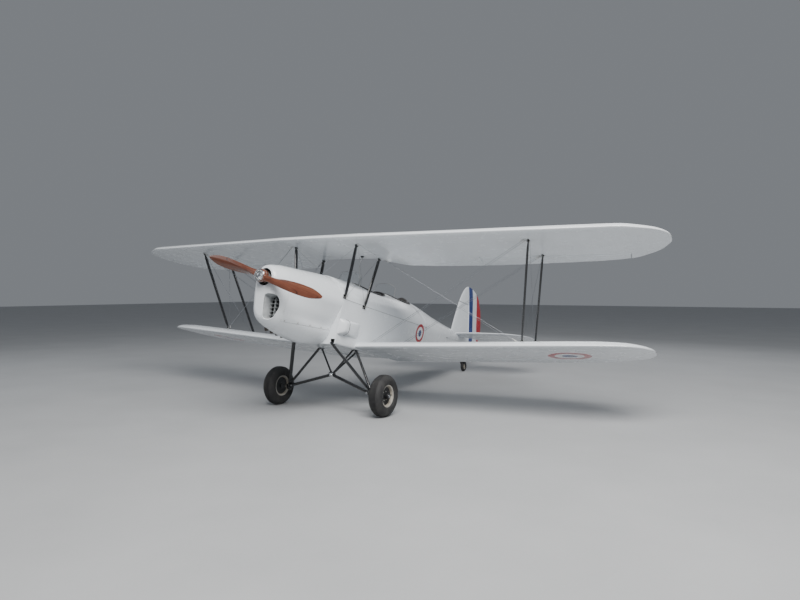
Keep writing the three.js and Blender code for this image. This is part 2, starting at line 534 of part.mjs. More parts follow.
// ----------------------------------------------------------------------- tail
const HORN_Z = 806;
const rudderMain = (() => {
  // horizontal slices, bottom to top: z at the hinge, aft edge y
  const zs = [-60, 60, 200, 400, 620, HORN_Z + 6];
  const edge = [6420, 6690, 6800, 6843, 6794, 6740];
  return loft(zs.map((z, i) => {
    const y0 = hingeY(z), r = i === 0 ? 16 : 23, te = edge[i];
    return [[r, y0], [r * 0.7, y0 - r * 0.7], [0, y0 - r], [-r * 0.7, y0 - r * 0.7], [-r, y0], [-0.62 * r, (y0 + te) / 2], [-4, te], [4, te], [0.62 * r, (y0 + te) / 2]].map(([x, y]) => [x, y, z]);
  }));
})();
const rudderTop = (() => {
  // slices of the part above the fin, horn included: z, front y, aft y, half thickness
  const t = [[HORN_Z + 6, 5648, 6740, 20], [900, 5700, 6700, 19], [1000, 5772, 6640, 16], [1080, 5850, 6540, 12], [1140, 5935, 6360, 8], [1176, 6030, 6180, 4]];
  return loft(t.map(([z, f, a, r]) => {
    const d = a - f;
    return [[0, f], [0.7 * r, f + 0.05 * d], [r, f + 0.2 * d], [r, f + 0.45 * d], [0.62 * r, f + 0.7 * d], [Math.min(4, r), a], [-Math.min(4, r), a], [-0.62 * r, f + 0.7 * d], [-r, f + 0.45 * d], [-r, f + 0.2 * d], [-0.7 * r, f + 0.05 * d]].map(([x, y]) => [x, y, z]);
  }));
})();
const rudder = join(rudderMain, rudderTop);

const fin = cut(loft([[80, 5330], [216, 5387], [390, 5453], [HORN_Z - 12, 5634]].map(([z, f]) => {
  const a = hingeY(z) - POST, d = a - f, r = 20;
  return [[0, f], [0.6 * r, f + 0.04 * d], [r, f + 0.25 * d], [r, a], [-r, a], [-r, f + 0.25 * d], [-0.6 * r, f + 0.04 * d]].map(([x, y]) => [x, y, z]);
})), outer);

// tailplane half: x, leading edge y, half thickness
const EH = ELEVATOR_HINGE;
const TAILPLANE = [[40, 5330, 24], [600, 5238, 26], [1060, 5215, 22], [1260, 5262, 17], [1400, 5356, 12], [1480, 5470, 8], [1515, 5600, 5]];
const tailplane = cut(loft(TAILPLANE.map(([x, le, r]) => {
  const te = EH.y - 22 - SURFACE_GAP, d = te - le;
  return [[le, 0], [le + 0.04 * d, 0.6 * r], [le + 0.22 * d, r], [te, Math.min(r, 21)], [te, -Math.min(r, 21)], [le + 0.22 * d, -r], [le + 0.04 * d, -0.6 * r]].map(([y, z]) => [x, y, EH.z + z]);
})), outer);
// elevator half: x, trailing edge y, nose radius
const ELEVATOR = [[112, 6020, 21], [170, 6270, 21], [232, 6410, 21], [500, 6458, 21], [900, 6450, 20], [1200, 6380, 17], [1380, 6250, 13], [1480, 6100, 9], [1512, 5985, 6]];
const elevatorHalf = loft(ELEVATOR.map(([x, te, r]) =>
  [[EH.y, r], [EH.y - 0.7 * r, 0.7 * r], [EH.y - r, 0], [EH.y - 0.7 * r, -0.7 * r], [EH.y, -r], [te, -Math.min(4, r)], [te, Math.min(4, r)]].map(([y, z]) => [x, y, EH.z + z])));
const elevator = join(elevatorHalf, mirrorX(elevatorHalf), rod([-130, EH.y, EH.z], [130, EH.y, EH.z], 14, 16));

// tail spring and steerable tailwheel; the swivel is upright when the aircraft is parked
const cosN = Math.cos(NOSE_UP), sinN = Math.sin(NOSE_UP);
// a point given in the parked frame, from below the hub: y aft of the hub face, z above the ground
const parked = (x, y, z) => [x, y * cosN - (z - HUB_HEIGHT) * sinN, y * sinN + (z - HUB_HEIGHT) * cosN];
const TW = { y: 5905, swivel: 5850 };           // wheel centre and swivel axis, aft of the hub face
const tailSpring = (() => {
  const a = parked(0, TW.swivel, 236), b = parked(0, TW.swivel, 304);
  const leaf = sidePlate([[5430, -205], [5475, -258], [5700, -266], [a[1] - 4, a[2] + 24], [a[1] - 8, a[2] + 42], [5705, -248], [5570, -180]], 24);
  return cut(join(leaf, rod(a, b, 26, 16)), rod(parked(0, TW.swivel, 200), parked(0, TW.swivel, 340), 12.5, 16), outer);
})();
const fork = (() => {
  const ax = parked(0, TW.y, TAILWHEEL_R);
  const arm = (s) => loft([228, TAILWHEEL_R - 16].map((z, i) => {
    const y = i ? TW.y : TW.swivel + 6, h = i ? 20 : 34;
    return [[s * 40, y - h], [s * 52, y - h], [s * 52, y + h], [s * 40, y + h]].map(([x, yy]) => parked(x, yy, z));
  }));
  const crown = loft([220, 232].map((z) => [[-52, TW.swivel - 34], [52, TW.swivel - 34], [52, TW.swivel + 40], [-52, TW.swivel + 40]].map(([x, y]) => parked(x, y, z))));
  const stem = rod(parked(0, TW.swivel, 226), parked(0, TW.swivel, 300), 12, 16);
  return join(crown, stem, arm(1), arm(-1), rod([-56, ax[1], ax[2]], [56, ax[1], ax[2]], 9, 12));
})();
const tailwheel = turned([[9.6, -32], [26, -32], [32, -24], [60, -24], [72, -30], [92, -24], [TAILWHEEL_R, -10], [TAILWHEEL_R, 10], [92, 24], [72, 30], [60, 24], [32, 24], [26, 32], [9.6, 32], [9.6, -32]],
  parked(0, TW.y, TAILWHEEL_R), 'x', 28);

// ------------------------------------------------------------------- cockpits
// windscreen: plan outline of a folded sheet, leaned back
function windscreen(y0, zBase, lean, height) {
  const t = 5, out = [[-205, 120], [-120, 18], [-60, 0], [60, 0], [120, 18], [205, 120]];
  const inn = out.map(([x, y]) => [x * (1 - t / 230), y + t * 1.2]).reverse();
  const ring = (z, k) => [...out, ...inn].map(([x, y]) => [x * k, y0 + y * k + (z - zBase) * lean, z]);
  return cut(loft([ring(zBase - 130, 1.08), ring(zBase + height, 0.86)]), outer);
}
const windscreenFront = windscreen(1690, 300, 0.42, 165);
const windscreenRear = windscreen(2655, 335, 0.42, 170);

// seat: a pan and a back in one bent sheet, on two side plates that stand on the floor
function seat(y, f) {
  const sheet = sidePlate([[y - 200, f + 190], [y + 150, f + 160], [y + 235, f + 620], [y + 255, f + 620], [y + 167, f + 142], [y - 200, f + 172]], 205);
  const leg = (x) => sidePlate([[y - 180, f], [y + 185, f], [y + 165, f + 150], [y - 180, f + 178]], 7, x);
  return join(sheet, leg(160), leg(-160));
}
const FLOOR = -533 + GAP;
const seatFront = seat(2240, FLOOR), seatRear = seat(3110, FLOOR);

// instrument panels fill the section under the decking ahead of each opening
function instrumentPanel(y) {
  const ring = (yy) => fuselageRing(yy, -DECK - 5).map(([x, , z]) => [x, yy, z]);
  return cut(loft([ring(y), ring(y + 7)]), box(-600, 600, y - 50, y + 50, -1000, -30));
}
const panelFront = instrumentPanel(1806), panelRear = instrumentPanel(2692);

// arched head pad at the back of the rear cockpit, against the edge of its opening
const padBack = (x) => {
  const [cy, hl, hw] = COCKPITS.rear;
  return cy + hl * (1 - (Math.abs(x) / hw) ** (2 / 0.7)) ** 0.35 - 6;
};
const headrest = cut(loft([-150, -105, -52, 0, 52, 105, 150].map((x) => {
  const yb = padBack(x), [, , wt, , zl, zc, p, r] = at(FUSELAGE, yb), z = zl + (zc - zl) * Math.max(0, 1 - (Math.abs(x) / wt) ** p) ** r;
  const f = yb - (x ? 95 : 105), top = z + (Math.abs(x) > 120 ? 20 : 40), low = z - 95;
  return [[f + 12, low], [yb, low], [yb, top - 14], [yb - 20, top], [f + 25, top - 4], [f, top - 30], [f, low + 14]].map(([yy, zz]) => [x, yy, zz]);
})), decking);

// ------------------------------------------------------------------- assembly
const biplane = new THREE.Group();
const level = new THREE.Group();
level.rotation.x = -NOSE_UP;
level.position.set(0, HUB_Y, HUB_HEIGHT);
biplane.add(level);

function add(name, geometry, material, position) {
  const mesh = new THREE.Mesh(geometry, material);
  mesh.name = name;
  if (position) mesh.position.set(...position);
  level.add(mesh);
  return mesh;
}
const pair = (name, geometry, material, position) => {
  add(`${name}_port`, geometry, material, position);
  add(`${name}_starboard`, mirrorX(geometry), material, position && [-position[0], position[1], position[2]]);
};

add('fuselage_tub', tub, MAT.white);
add('top_decking', decking, MAT.white);
add('rear_fuselage', rearFuselage, MAT.fabric);
add('firewall', firewall, MAT.alu);
add('nose_bowl', noseBowl, MAT.white);
pair('engine_cowl', cowlPort, MAT.white);
add('engine_cowl_bottom', cowlBottom, MAT.white);
add('engine_block', engine, MAT.iron);
add('side_air_scoop', scoop, MAT.white);
add('propeller', propeller, MAT.wood);
add('propeller_hub', hub, MAT.steel);

add('upper_centre_section', centreSection, MAT.fabric);
pair('upper_wing', upperWing, MAT.fabric);
pair('lower_wing', lowerWing, MAT.fabric);
pair('upper_aileron', upperAileron, MAT.fabric);
pair('lower_aileron', lowerAileron, MAT.fabric);
for (const [n, g] of Object.entries(cabane)) pair(`cabane_strut_${n}`, g, MAT.black);
for (const [n, g] of Object.entries(interplane)) pair(`interplane_strut_${n}`, g, MAT.black);
for (const [n, g] of stays) pair(n, g, MAT.steel);

pair('main_gear', gearPort, MAT.black);
add('axle_pyramid', pyramid, MAT.black);
const wheelAt = [WHEEL.x, WHEEL.y, WHEEL.z];
pair('wheel', wheelDisc, MAT.rim, wheelAt);
pair('tyre', tyre, MAT.rubber, wheelAt);

add('fin', fin, MAT.fabric);
add('rudder', rudder, MAT.fabric);
pair('tailplane', tailplane, MAT.fabric);
add('elevator', elevator, MAT.fabric);
add('tail_spring', tailSpring, MAT.black);
add('tailwheel_fork', fork, MAT.black);
add('tailwheel', tailwheel, MAT.rubber);

add('windscreen_front', windscreenFront, MAT.glass);
add('windscreen_rear', windscreenRear, MAT.glass);
add('seat_front', seatFront, MAT.alu);
add('seat_rear', seatRear, MAT.alu);
add('instrument_panel_front', panelFront, MAT.panel);
add('instrument_panel_rear', panelRear, MAT.panel);
add('headrest', headrest, MAT.leather);

export default biplane;
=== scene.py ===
# Looks of a two-seat open-cockpit biplane parked on its wheels.
# Shapes are written in the airframe's own level frame (millimetres, origin at the
# front of the propeller hub, x to port, y aft, z up) and turned nose-up by P().
import bpy, bmesh, math
import numpy as np
from mathutils import Vector, Matrix


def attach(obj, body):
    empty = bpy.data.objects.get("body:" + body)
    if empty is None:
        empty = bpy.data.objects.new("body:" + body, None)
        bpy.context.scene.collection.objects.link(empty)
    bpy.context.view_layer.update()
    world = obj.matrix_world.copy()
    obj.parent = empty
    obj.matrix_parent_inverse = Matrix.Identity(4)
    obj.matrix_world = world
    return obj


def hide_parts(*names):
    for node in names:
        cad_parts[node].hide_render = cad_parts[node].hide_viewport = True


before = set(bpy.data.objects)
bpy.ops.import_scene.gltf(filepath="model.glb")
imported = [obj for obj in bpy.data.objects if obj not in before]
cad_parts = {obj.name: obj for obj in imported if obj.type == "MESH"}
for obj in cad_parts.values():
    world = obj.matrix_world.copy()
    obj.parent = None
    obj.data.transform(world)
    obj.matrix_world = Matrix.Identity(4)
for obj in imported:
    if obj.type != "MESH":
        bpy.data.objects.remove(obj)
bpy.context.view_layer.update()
SCENE = bpy.context.scene

# ------------------------------------------------------------------ camera
CAM = np.array([4.871157, -8.6214, 1.617146])
YAW, PITCH, ROLL = -0.5175845, -0.0150558, 0.0007972


def make_camera():
    fw = Vector((math.sin(YAW) * math.cos(PITCH), math.cos(YAW) * math.cos(PITCH), math.sin(PITCH)))
    right = Vector((math.cos(YAW), -math.sin(YAW), 0))
    up = right.cross(fw)
    r2 = math.cos(ROLL) * right + math.sin(ROLL) * up
    u2 = -math.sin(ROLL) * right + math.cos(ROLL) * up
    cam = bpy.data.cameras.new("camera")
    cam.sensor_fit = "HORIZONTAL"
    cam.sensor_width = 36.0
    cam.lens = 600.969 * 36.0 / 800.0
    cam.clip_end = 200
    ob = bpy.data.objects.new("camera", cam)
    SCENE.collection.objects.link(ob)
    m = Matrix((
        (r2.x, u2.x, -fw.x, CAM[0]),
        (r2.y, u2.y, -fw.y, CAM[1]),
        (r2.z, u2.z, -fw.z, CAM[2]),
        (0, 0, 0, 1)))
    ob.matrix_world = m
    SCENE.camera = ob


make_camera()

# ------------------------------------------------------------- frames, curves
NOSE_UP = math.radians(12)
CA, SA = math.cos(NOSE_UP), math.sin(NOSE_UP)
HUB_Y, HUB_H = -3379.4, 1806.0


def P(p):
    """Level frame, mm, to the part's frame, m."""
    p = np.asarray(p, float)
    x, y, z = p[..., 0], p[..., 1], p[..., 2]
    return np.stack([x, y * CA + z * SA + HUB_Y, -y * SA + z * CA + HUB_H], -1) / 1000.0


def parked(x, y, z):
    """y aft of the hub face and z above the ground, as parked, to the level frame."""
    return np.array([x, y * CA - (z - HUB_H) * SA, y * SA + (z - HUB_H) * CA])


class Pchip:
    """Smooth curve through points, with no overshoot."""

    def __init__(self, x, y):
        self.x, self.y = np.asarray(x, float), np.asarray(y, float)
        h = np.diff(self.x)
        d = np.diff(self.y) / h
        m = np.zeros_like(self.y)
        for i in range(1, len(self.x) - 1):
            if d[i - 1] * d[i] > 0:
                a, b = 2 * h[i] + h[i - 1], h[i] + 2 * h[i - 1]
                m[i] = (a + b) / (a / d[i - 1] + b / d[i])
        m[0], m[-1] = d[0], d[-1]
        self.h, self.m = h, m

    def __call__(self, q):
        q = np.clip(np.asarray(q, float), self.x[0], self.x[-1])
        i = np.clip(np.searchsorted(self.x, q, side="right") - 1, 0, len(self.x) - 2)
        h = self.h[i]
        t = (q - self.x[i]) / h
        t2, t3 = t * t, t * t * t
        return ((2 * t3 - 3 * t2 + 1) * self.y[i] + (t3 - 2 * t2 + t) * h * self.m[i]
                + (-2 * t3 + 3 * t2) * self.y[i + 1] + (t3 - t2) * h * self.m[i + 1])


class Table:
    def __init__(self, rows, key=lambda v: v):
        a = np.array(rows, float)
        k = key(a[:, 0])
        order = np.argsort(k)
        self.key = key
        self.cols = [Pchip(k[order], a[order, c]) for c in range(1, a.shape[1])]

    def __call__(self, v):
        return [c(self.key(np.asarray(v, float))) for c in self.cols]


def spline(pts, n, closed=False, per=14):
    """Centripetal Catmull-Rom through the points, n samples evenly along it."""
    p = np.asarray(pts, float)
    if closed:
        q = np.vstack([p[-1], p, p[0], p[1]])
    else:
        q = np.vstack([2 * p[0] - p[1], p, 2 * p[-1] - p[-2]])
    out = []
    for i in range(1, len(q) - 2):
        a, b, c, d = q[i - 1], q[i], q[i + 1], q[i + 2]
        t0 = 0.0
        t1 = t0 + max(1e-6, np.linalg.norm(b - a)) ** 0.5
        t2 = t1 + max(1e-6, np.linalg.norm(c - b)) ** 0.5
        t3 = t2 + max(1e-6, np.linalg.norm(d - c)) ** 0.5
        for t in np.linspace(t1, t2, per, endpoint=False):
            a1 = (t1 - t) / (t1 - t0) * a + (t - t0) / (t1 - t0) * b
            a2 = (t2 - t) / (t2 - t1) * b + (t - t1) / (t2 - t1) * c
            a3 = (t3 - t) / (t3 - t2) * c + (t - t2) / (t3 - t2) * d
            b1 = (t2 - t) / (t2 - t0) * a1 + (t - t0) / (t2 - t0) * a2
            b2 = (t3 - t) / (t3 - t1) * a2 + (t - t1) / (t3 - t1) * a3
            out.append((t2 - t) / (t2 - t1) * b1 + (t - t1) / (t2 - t1) * b2)
    out.append(q[-2] if not closed else out[0])
    return resample(np.array(out), n, closed)


def resample(line, n, closed=False):
    s = np.concatenate([[0], np.cumsum(np.linalg.norm(np.diff(line, axis=0), axis=1))])
    t = np.linspace(0, s[-1], n + 1)[:-1] if closed else np.linspace(0, s[-1], n)
    return np.stack([np.interp(t, s, line[:, c]) for c in range(line.shape[1])], -1)


# ----------------------------------------------------------- mesh generators
# each returns (points in the level frame, faces)

def lofted(rings, closed_v=True, closed_u=False, caps=True):
    g = np.asarray(rings, float)
    nu, nv = g.shape[:2]
    faces = []
    lu = nu if closed_u else nu - 1
    lv = nv if closed_v else nv - 1
    for i in range(lu):
        a, b = i * nv, ((i + 1) % nu) * nv
        for j in range(lv):
            k = (j + 1) % nv
            faces.append((a + j, a + k, b + k, b + j))
    if caps and closed_v and not closed_u:
        faces.append(tuple(range(nv - 1, -1, -1)))
        faces.append(tuple((nu - 1) * nv + j for j in range(nv)))
    return g.reshape(-1, 3), faces


def normals_of(g, closed_v, closed_u=False):
    def grad(a, axis, closed):
        if closed:
            return np.roll(a, -1, axis) - np.roll(a, 1, axis)
        return np.gradient(a, axis=axis)
    n = np.cross(grad(g, 0, closed_u), grad(g, 1, closed_v))
    return n / np.maximum(1e-9, np.linalg.norm(n, axis=-1, keepdims=True))


def shell(g, t, axis=(0, None, -150), closed_v=False):
    """A sheet of thickness t under the surface g, with its edges closed."""
    g = np.asarray(g, float)
    n = normals_of(g, closed_v)
    ref = np.stack([np.full(g.shape[:2], axis[0]), g[..., 1] if axis[1] is None else np.full(g.shape[:2], axis[1]), np.full(g.shape[:2], axis[2])], -1)
    if np.sum(n * (g - ref)) < 0:
        n = -n
    inner = g - n * t
    nu, nv = g.shape[:2]
    pts = np.vstack([g.reshape(-1, 3), inner.reshape(-1, 3)])
    o, faces = nu * nv, []
    lv = nv if closed_v else nv - 1
    for i in range(nu - 1):
        for j in range(lv):
            k = (j + 1) % nv
            q = (i * nv + j, i * nv + k, (i + 1) * nv + k, (i + 1) * nv + j)
            faces.append(q)
            faces.append(tuple(o + v for v in reversed(q)))
    for i in (0, nu - 1):
        for j in range(lv):
            k = (j + 1) % nv
            faces.append((i * nv + j, o + i * nv + j, o + i * nv + k, i * nv + k))
    if not closed_v:
        for j in (0, nv - 1):
            for i in range(nu - 1):
                faces.append((i * nv + j, (i + 1) * nv + j, o + (i + 1) * nv + j, o + i * nv + j))
    return pts, faces


def frames(path, closed=False):
    p = np.asarray(path, float)
    t = (np.roll(p, -1, 0) - np.roll(p, 1, 0)) if closed else np.gradient(p, axis=0)
    t /= np.maximum(1e-9, np.linalg.norm(t, axis=1, keepdims=True))
    ref = np.array([0, 0, 1.0]) if abs(t[0][2]) < 0.9 else np.array([0, 1.0, 0])
    u = np.cross(t[0], ref); u /= np.linalg.norm(u)
    us = [u]
    for i in range(1, len(p)):
        u = us[-1] - t[i] * np.dot(us[-1], t[i])
        us.append(u / max(1e-9, np.linalg.norm(u)))
    us = np.array(us)
    return p, t, us, np.cross(t, us)


def tube(path, r, n=12, closed=False, flat=1.0):
    p, t, u, w = frames(path, closed)
    r = np.full(len(p), r) if np.isscalar(r) else np.asarray(r, float)
    a = np.linspace(0, 2 * math.pi, n, endpoint=False)
    g = p[:, None] + r[:, None, None] * (np.cos(a)[None, :, None] * u[:, None] + flat * np.sin(a)[None, :, None] * w[:, None])
    return lofted(g, True, closed)


def section_sweep(path, shape, aft, scale=None, closed=False):
    """Sweeps a 2-D shape (along aft, across) along a straight or gently bent path."""
    p = np.asarray(path, float)
    t = np.gradient(p, axis=0); t /= np.linalg.norm(t, axis=1, keepdims=True)
    aft = np.asarray(aft, float)
    u = aft[None] - t * (t @ aft)[:, None]
    u /= np.linalg.norm(u, axis=1, keepdims=True)
    w = np.cross(t, u)
    s = np.asarray(shape, float)
    sc = np.ones((len(p), 2)) if scale is None else np.asarray(scale, float)
    g = p[:, None] + s[None, :, 0, None] * sc[:, None, 0, None] * u[:, None] + s[None, :, 1, None] * sc[:, None, 1, None] * w[:, None]
    return lofted(g)


def lathe(profile, o, axis=(1, 0, 0), n=48, closed=True):
    """profile (radius, along) round an axis through o."""
    ax = np.asarray(axis, float); ax /= np.linalg.norm(ax)
    ref = np.array([0, 0, 1.0]) if abs(ax[2]) < 0.9 else np.array([0, 1.0, 0])
    u = np.cross(ax, ref); u /= np.linalg.norm(u)
    w = np.cross(ax, u)
    a = np.linspace(0, 2 * math.pi, n, endpoint=False)
    pr = np.asarray(profile, float)
    g = (np.asarray(o, float) + pr[:, 1, None, None] * ax
         + pr[:, 0, None, None] * (np.cos(a)[None, :, None] * u + np.sin(a)[None, :, None] * w))
    return lofted(g, True, closed and (abs(pr[0, 0]) > 1e-6 and np.allclose(pr[0], pr[-1])), caps=not np.allclose(pr[0], pr[-1])) \
        if not np.allclose(pr[0], pr[-1]) else lofted(g[:-1], True, True, caps=False)


def rod(a, b, r, n=16, r1=None, bevel=0.0):
    a, b = np.asarray(a, float), np.asarray(b, float)
    r1 = r if r1 is None else r1
    d = b - a
    L = np.linalg.norm(d)
    if bevel <= 0:
        return lathe([(0.01, 0), (r, 0), (r1, L), (0.01, L)], a, d, n)
    return lathe([(0.01, 0), (r - bevel, 0), (r, bevel), (r1, L - bevel), (r1 - bevel, L), (0.01, L)], a, d, n)


def block(x0, x1, y0, y1, z0, z1, bevel=2.0, seg=2):
    bm = bmesh.new()
    bmesh.ops.create_cube(bm, size=1.0)
    for v in bm.verts:
        v.co = Vector(((x0 + x1) / 2 + v.co.x * (x1 - x0), (y0 + y1) / 2 + v.co.y * (y1 - y0), (z0 + z1) / 2 + v.co.z * (z1 - z0)))
    if bevel > 0:
        bmesh.ops.bevel(bm, geom=list(bm.edges), offset=bevel, segments=seg, profile=0.5, affect="EDGES")
    bm.verts.index_update()
    pts = np.array([v.co[:] for v in bm.verts])
    faces = [tuple(v.index for v in f.verts) for f in bm.faces]
    bm.free()
    return pts, faces


def bolt(o, normal, r=6.0, h=4.5, washer=True, turn=0.0):
    """A hexagon head with a chamfer, on a washer."""
    nrm = np.asarray(normal, float); nrm /= np.linalg.norm(nrm)
    ref = np.array([0, 0, 1.0]) if abs(nrm[2]) < 0.9 else np.array([0, 1.0, 0])
    u = np.cross(nrm, ref); u /= np.linalg.norm(u)
    w = np.cross(nrm, u)
    o = np.asarray(o, float)
    pts, faces = [], []
    a = np.arange(6) * math.pi / 3 + turn
    base = 1.2 if washer else 0.0
    rings = [(r, base), (r, base + h * .8), (r * .84, base + h)]
    g = np.array([[o + nrm * hh + rr * (math.cos(t) * u + math.sin(t) * w) for t in a] for rr, hh in rings])
    p, f = lofted(g)
    pts.append(p); faces += f
    if washer:
        p2, f2 = lathe([(0.01, -0.5), (r * 1.45, -0.5), (r * 1.45, 1.0), (r * 1.35, 1.2), (0.01, 1.2)], o, nrm, 14)
        faces += [tuple(v + len(p) for v in q) for q in f2]
        pts.append(p2)
    return np.vstack(pts), faces


def flip_x(m):
    p, f = m
    q = np.array(p, float).copy()
    q[:, 0] *= -1
    return q, [tuple(reversed(v)) for v in f]


# --------------------------------------------------------------- node helper
class Mat:
    """A small writer for procedural materials."""

    def __init__(self, name, base=(0.8, 0.8, 0.8), rough=0.5, metal=0.0, **constant):
        self.m = bpy.data.materials.new(name)
        self.m.use_nodes = True
        self.nt = self.m.node_tree
        self.nt.nodes.clear()
        self.out = self.nt.nodes.new("ShaderNodeOutputMaterial")
        self.b = self.nt.nodes.new("ShaderNodeBsdfPrincipled")
        self.nt.links.new(self.b.outputs["BSDF"], self.out.inputs["Surface"])
        self.put(self.b.inputs["Base Color"], base)
        self.put(self.b.inputs["Roughness"], rough)
        self.put(self.b.inputs["Metallic"], metal)
        for k, v in constant.items():
            self.b.inputs[k.replace("_", " ")].default_value = v
        self._co = None
        self._lv = None

    def put(self, sock, v):
        if isinstance(v, bpy.types.NodeSocket):
            self.nt.links.new(v, sock)
        elif isinstance(v, (tuple, list)) and sock.type == "RGBA":
            sock.default_value = tuple(v)[:3] + (1.0,)
        else:
            sock.default_value = v

    def set(self, **kw):
        for k, v in kw.items():
            self.put(self.b.inputs[k.replace("_", " ")], v)
        return self

    @property
    def co(self):
        if self._co is None:
            n = self.nt.nodes.new("ShaderNodeTexCoord")
            self._co = n.outputs["Object"]
            self._nrm = n.outputs["Normal"]
        return self._co

    @property
    def normal(self):
        self.co
        return self._nrm

    @property
    def level(self):
        """Level-frame metres."""
        if self._lv is None:
            n = self.nt.nodes.new("ShaderNodeMapping")
            n.vector_type = "POINT"
            self.put(n.inputs["Vector"], self.co)
            n.inputs["Rotation"].default_value = (NOSE_UP, 0, 0)
            n.inputs["Location"].default_value = (0, 3.68104, -1.06392)
            self._lv = n.outputs["Vector"]
        return self._lv

    def map(self, vec, scale=(1, 1, 1), loc=(0, 0, 0), rot=(0, 0, 0)):
        n = self.nt.nodes.new("ShaderNodeMapping")
        n.vector_type = "POINT"
        self.put(n.inputs["Vector"], vec)
        n.inputs["Scale"].default_value = scale
        n.inputs["Location"].default_value = loc
        n.inputs["Rotation"].default_value = rot
        return n.outputs["Vector"]

    def xyz(self, vec=None):
        n = self.nt.nodes.new("ShaderNodeSeparateXYZ")
        self.put(n.inputs[0], self.level if vec is None else vec)
        return n.outputs[0], n.outputs[1], n.outputs[2]

    def vec(self, x, y, z):
        n = self.nt.nodes.new("ShaderNodeCombineXYZ")
        for s, v in zip(n.inputs, (x, y, z)):
            self.put(s, v)
        return n.outputs[0]

    def op(self, name, a, b=0.0, c=0.0, clamp=False):
        n = self.nt.nodes.new("ShaderNodeMath")
        n.operation = name
        n.use_clamp = clamp
        self.put(n.inputs[0], a)
        self.put(n.inputs[1], b)
        self.put(n.inputs[2], c)
        return n.outputs[0]

    def rng(self, v, a, b, c=0.0, d=1.0, smooth=False):
        n = self.nt.nodes.new("ShaderNodeMapRange")
        n.interpolation_type = "SMOOTHSTEP" if smooth else "LINEAR"
        self.put(n.inputs["Value"], v)
        n.inputs["From Min"].default_value = a
        n.inputs["From Max"].default_value = b
        n.inputs["To Min"].default_value = c
        n.inputs["To Max"].default_value = d
        return n.outputs["Result"]

    def noise(self, vec=None, scale=5.0, detail=3.0, rough=0.5, dist=0.0):
        n = self.nt.nodes.new("ShaderNodeTexNoise")
        self.put(n.inputs["Vector"], self.co if vec is None else vec)
        n.inputs["Scale"].default_value = scale
        n.inputs["Detail"].default_value = detail
        n.inputs["Roughness"].default_value = rough
        n.inputs["Distortion"].default_value = dist
        return n.outputs["Fac"]

    def voronoi(self, vec=None, scale=5.0, feature="F1"):
        n = self.nt.nodes.new("ShaderNodeTexVoronoi")
        n.feature = feature
        self.put(n.inputs["Vector"], self.co if vec is None else vec)
        n.inputs["Scale"].default_value = scale
        return n.outputs["Distance"]

    def wave(self, vec=None, scale=5.0, dist=0.0, detail=1.0, dscale=1.0, direction="X"):
        n = self.nt.nodes.new("ShaderNodeTexWave")
        n.bands_direction = direction
        self.put(n.inputs["Vector"], self.co if vec is None else vec)
        n.inputs["Scale"].default_value = scale
        n.inputs["Distortion"].default_value = dist
        n.inputs["Detail"].default_value = detail
        n.inputs["Detail Scale"].default_value = dscale
        return n.outputs["Fac"]

    def mix(self, fac, a, b, kind="MIX"):
        n = self.nt.nodes.new("ShaderNodeMix")
        n.data_type = "RGBA"
        n.blend_type = kind
        self.put(n.inputs["Factor"], fac)
        self.put(n.inputs[6], a)
        self.put(n.inputs[7], b)
        return n.outputs[2]

    def ramp(self, fac, stops):
        n = self.nt.nodes.new("ShaderNodeValToRGB")
        self.put(n.inputs["Fac"], fac)
        el = n.color_ramp.elements
        while len(el) < len(stops):
            el.new(0.5)
        for e, (p, c) in zip(el, stops):
            e.position = p
            e.color = tuple(c) + (1.0,) if len(c) == 3 else c
        return n.outputs["Color"]

    def bump(self, height, strength=0.3, distance=0.001, normal=None):
        n = self.nt.nodes.new("ShaderNodeBump")
        n.inputs["Strength"].default_value = strength
        n.inputs["Distance"].default_value = distance
        self.put(n.inputs["Height"], height)
        if normal is not None:
            self.put(n.inputs["Normal"], normal)
        self.last_bump = n.outputs["Normal"]
        self.put(self.b.inputs["Normal"], n.outputs["Normal"])
        return n.outputs["Normal"]


WHITE = (0.80, 0.835, 0.87)
BLUE = (0.008, 0.030, 0.17)
RED = (0.42, 0.008, 0.020)


def ring_marks(M, col, parts):
    """Three-colour roundels: parts are (u, v, cu, cv, radius, mask)."""
    for u, v, cu, cv, r, mask in parts:
        du, dv = M.op("SUBTRACT", u, cu), M.op("SUBTRACT", v, cv)
        d = M.op("SQRT", M.op("ADD", M.op("MULTIPLY", du, du), M.op("MULTIPLY", dv, dv)))
        e = 0.0015
        for rad, c in ((r, RED), (r * 0.68, WHITE), (r * 0.36, BLUE)):
            f = M.rng(d, rad - e, rad + e, 1.0, 0.0)
            if mask is not None:
                f = M.op("MULTIPLY", f, mask)
            col = M.mix(f, col, c)
    return col


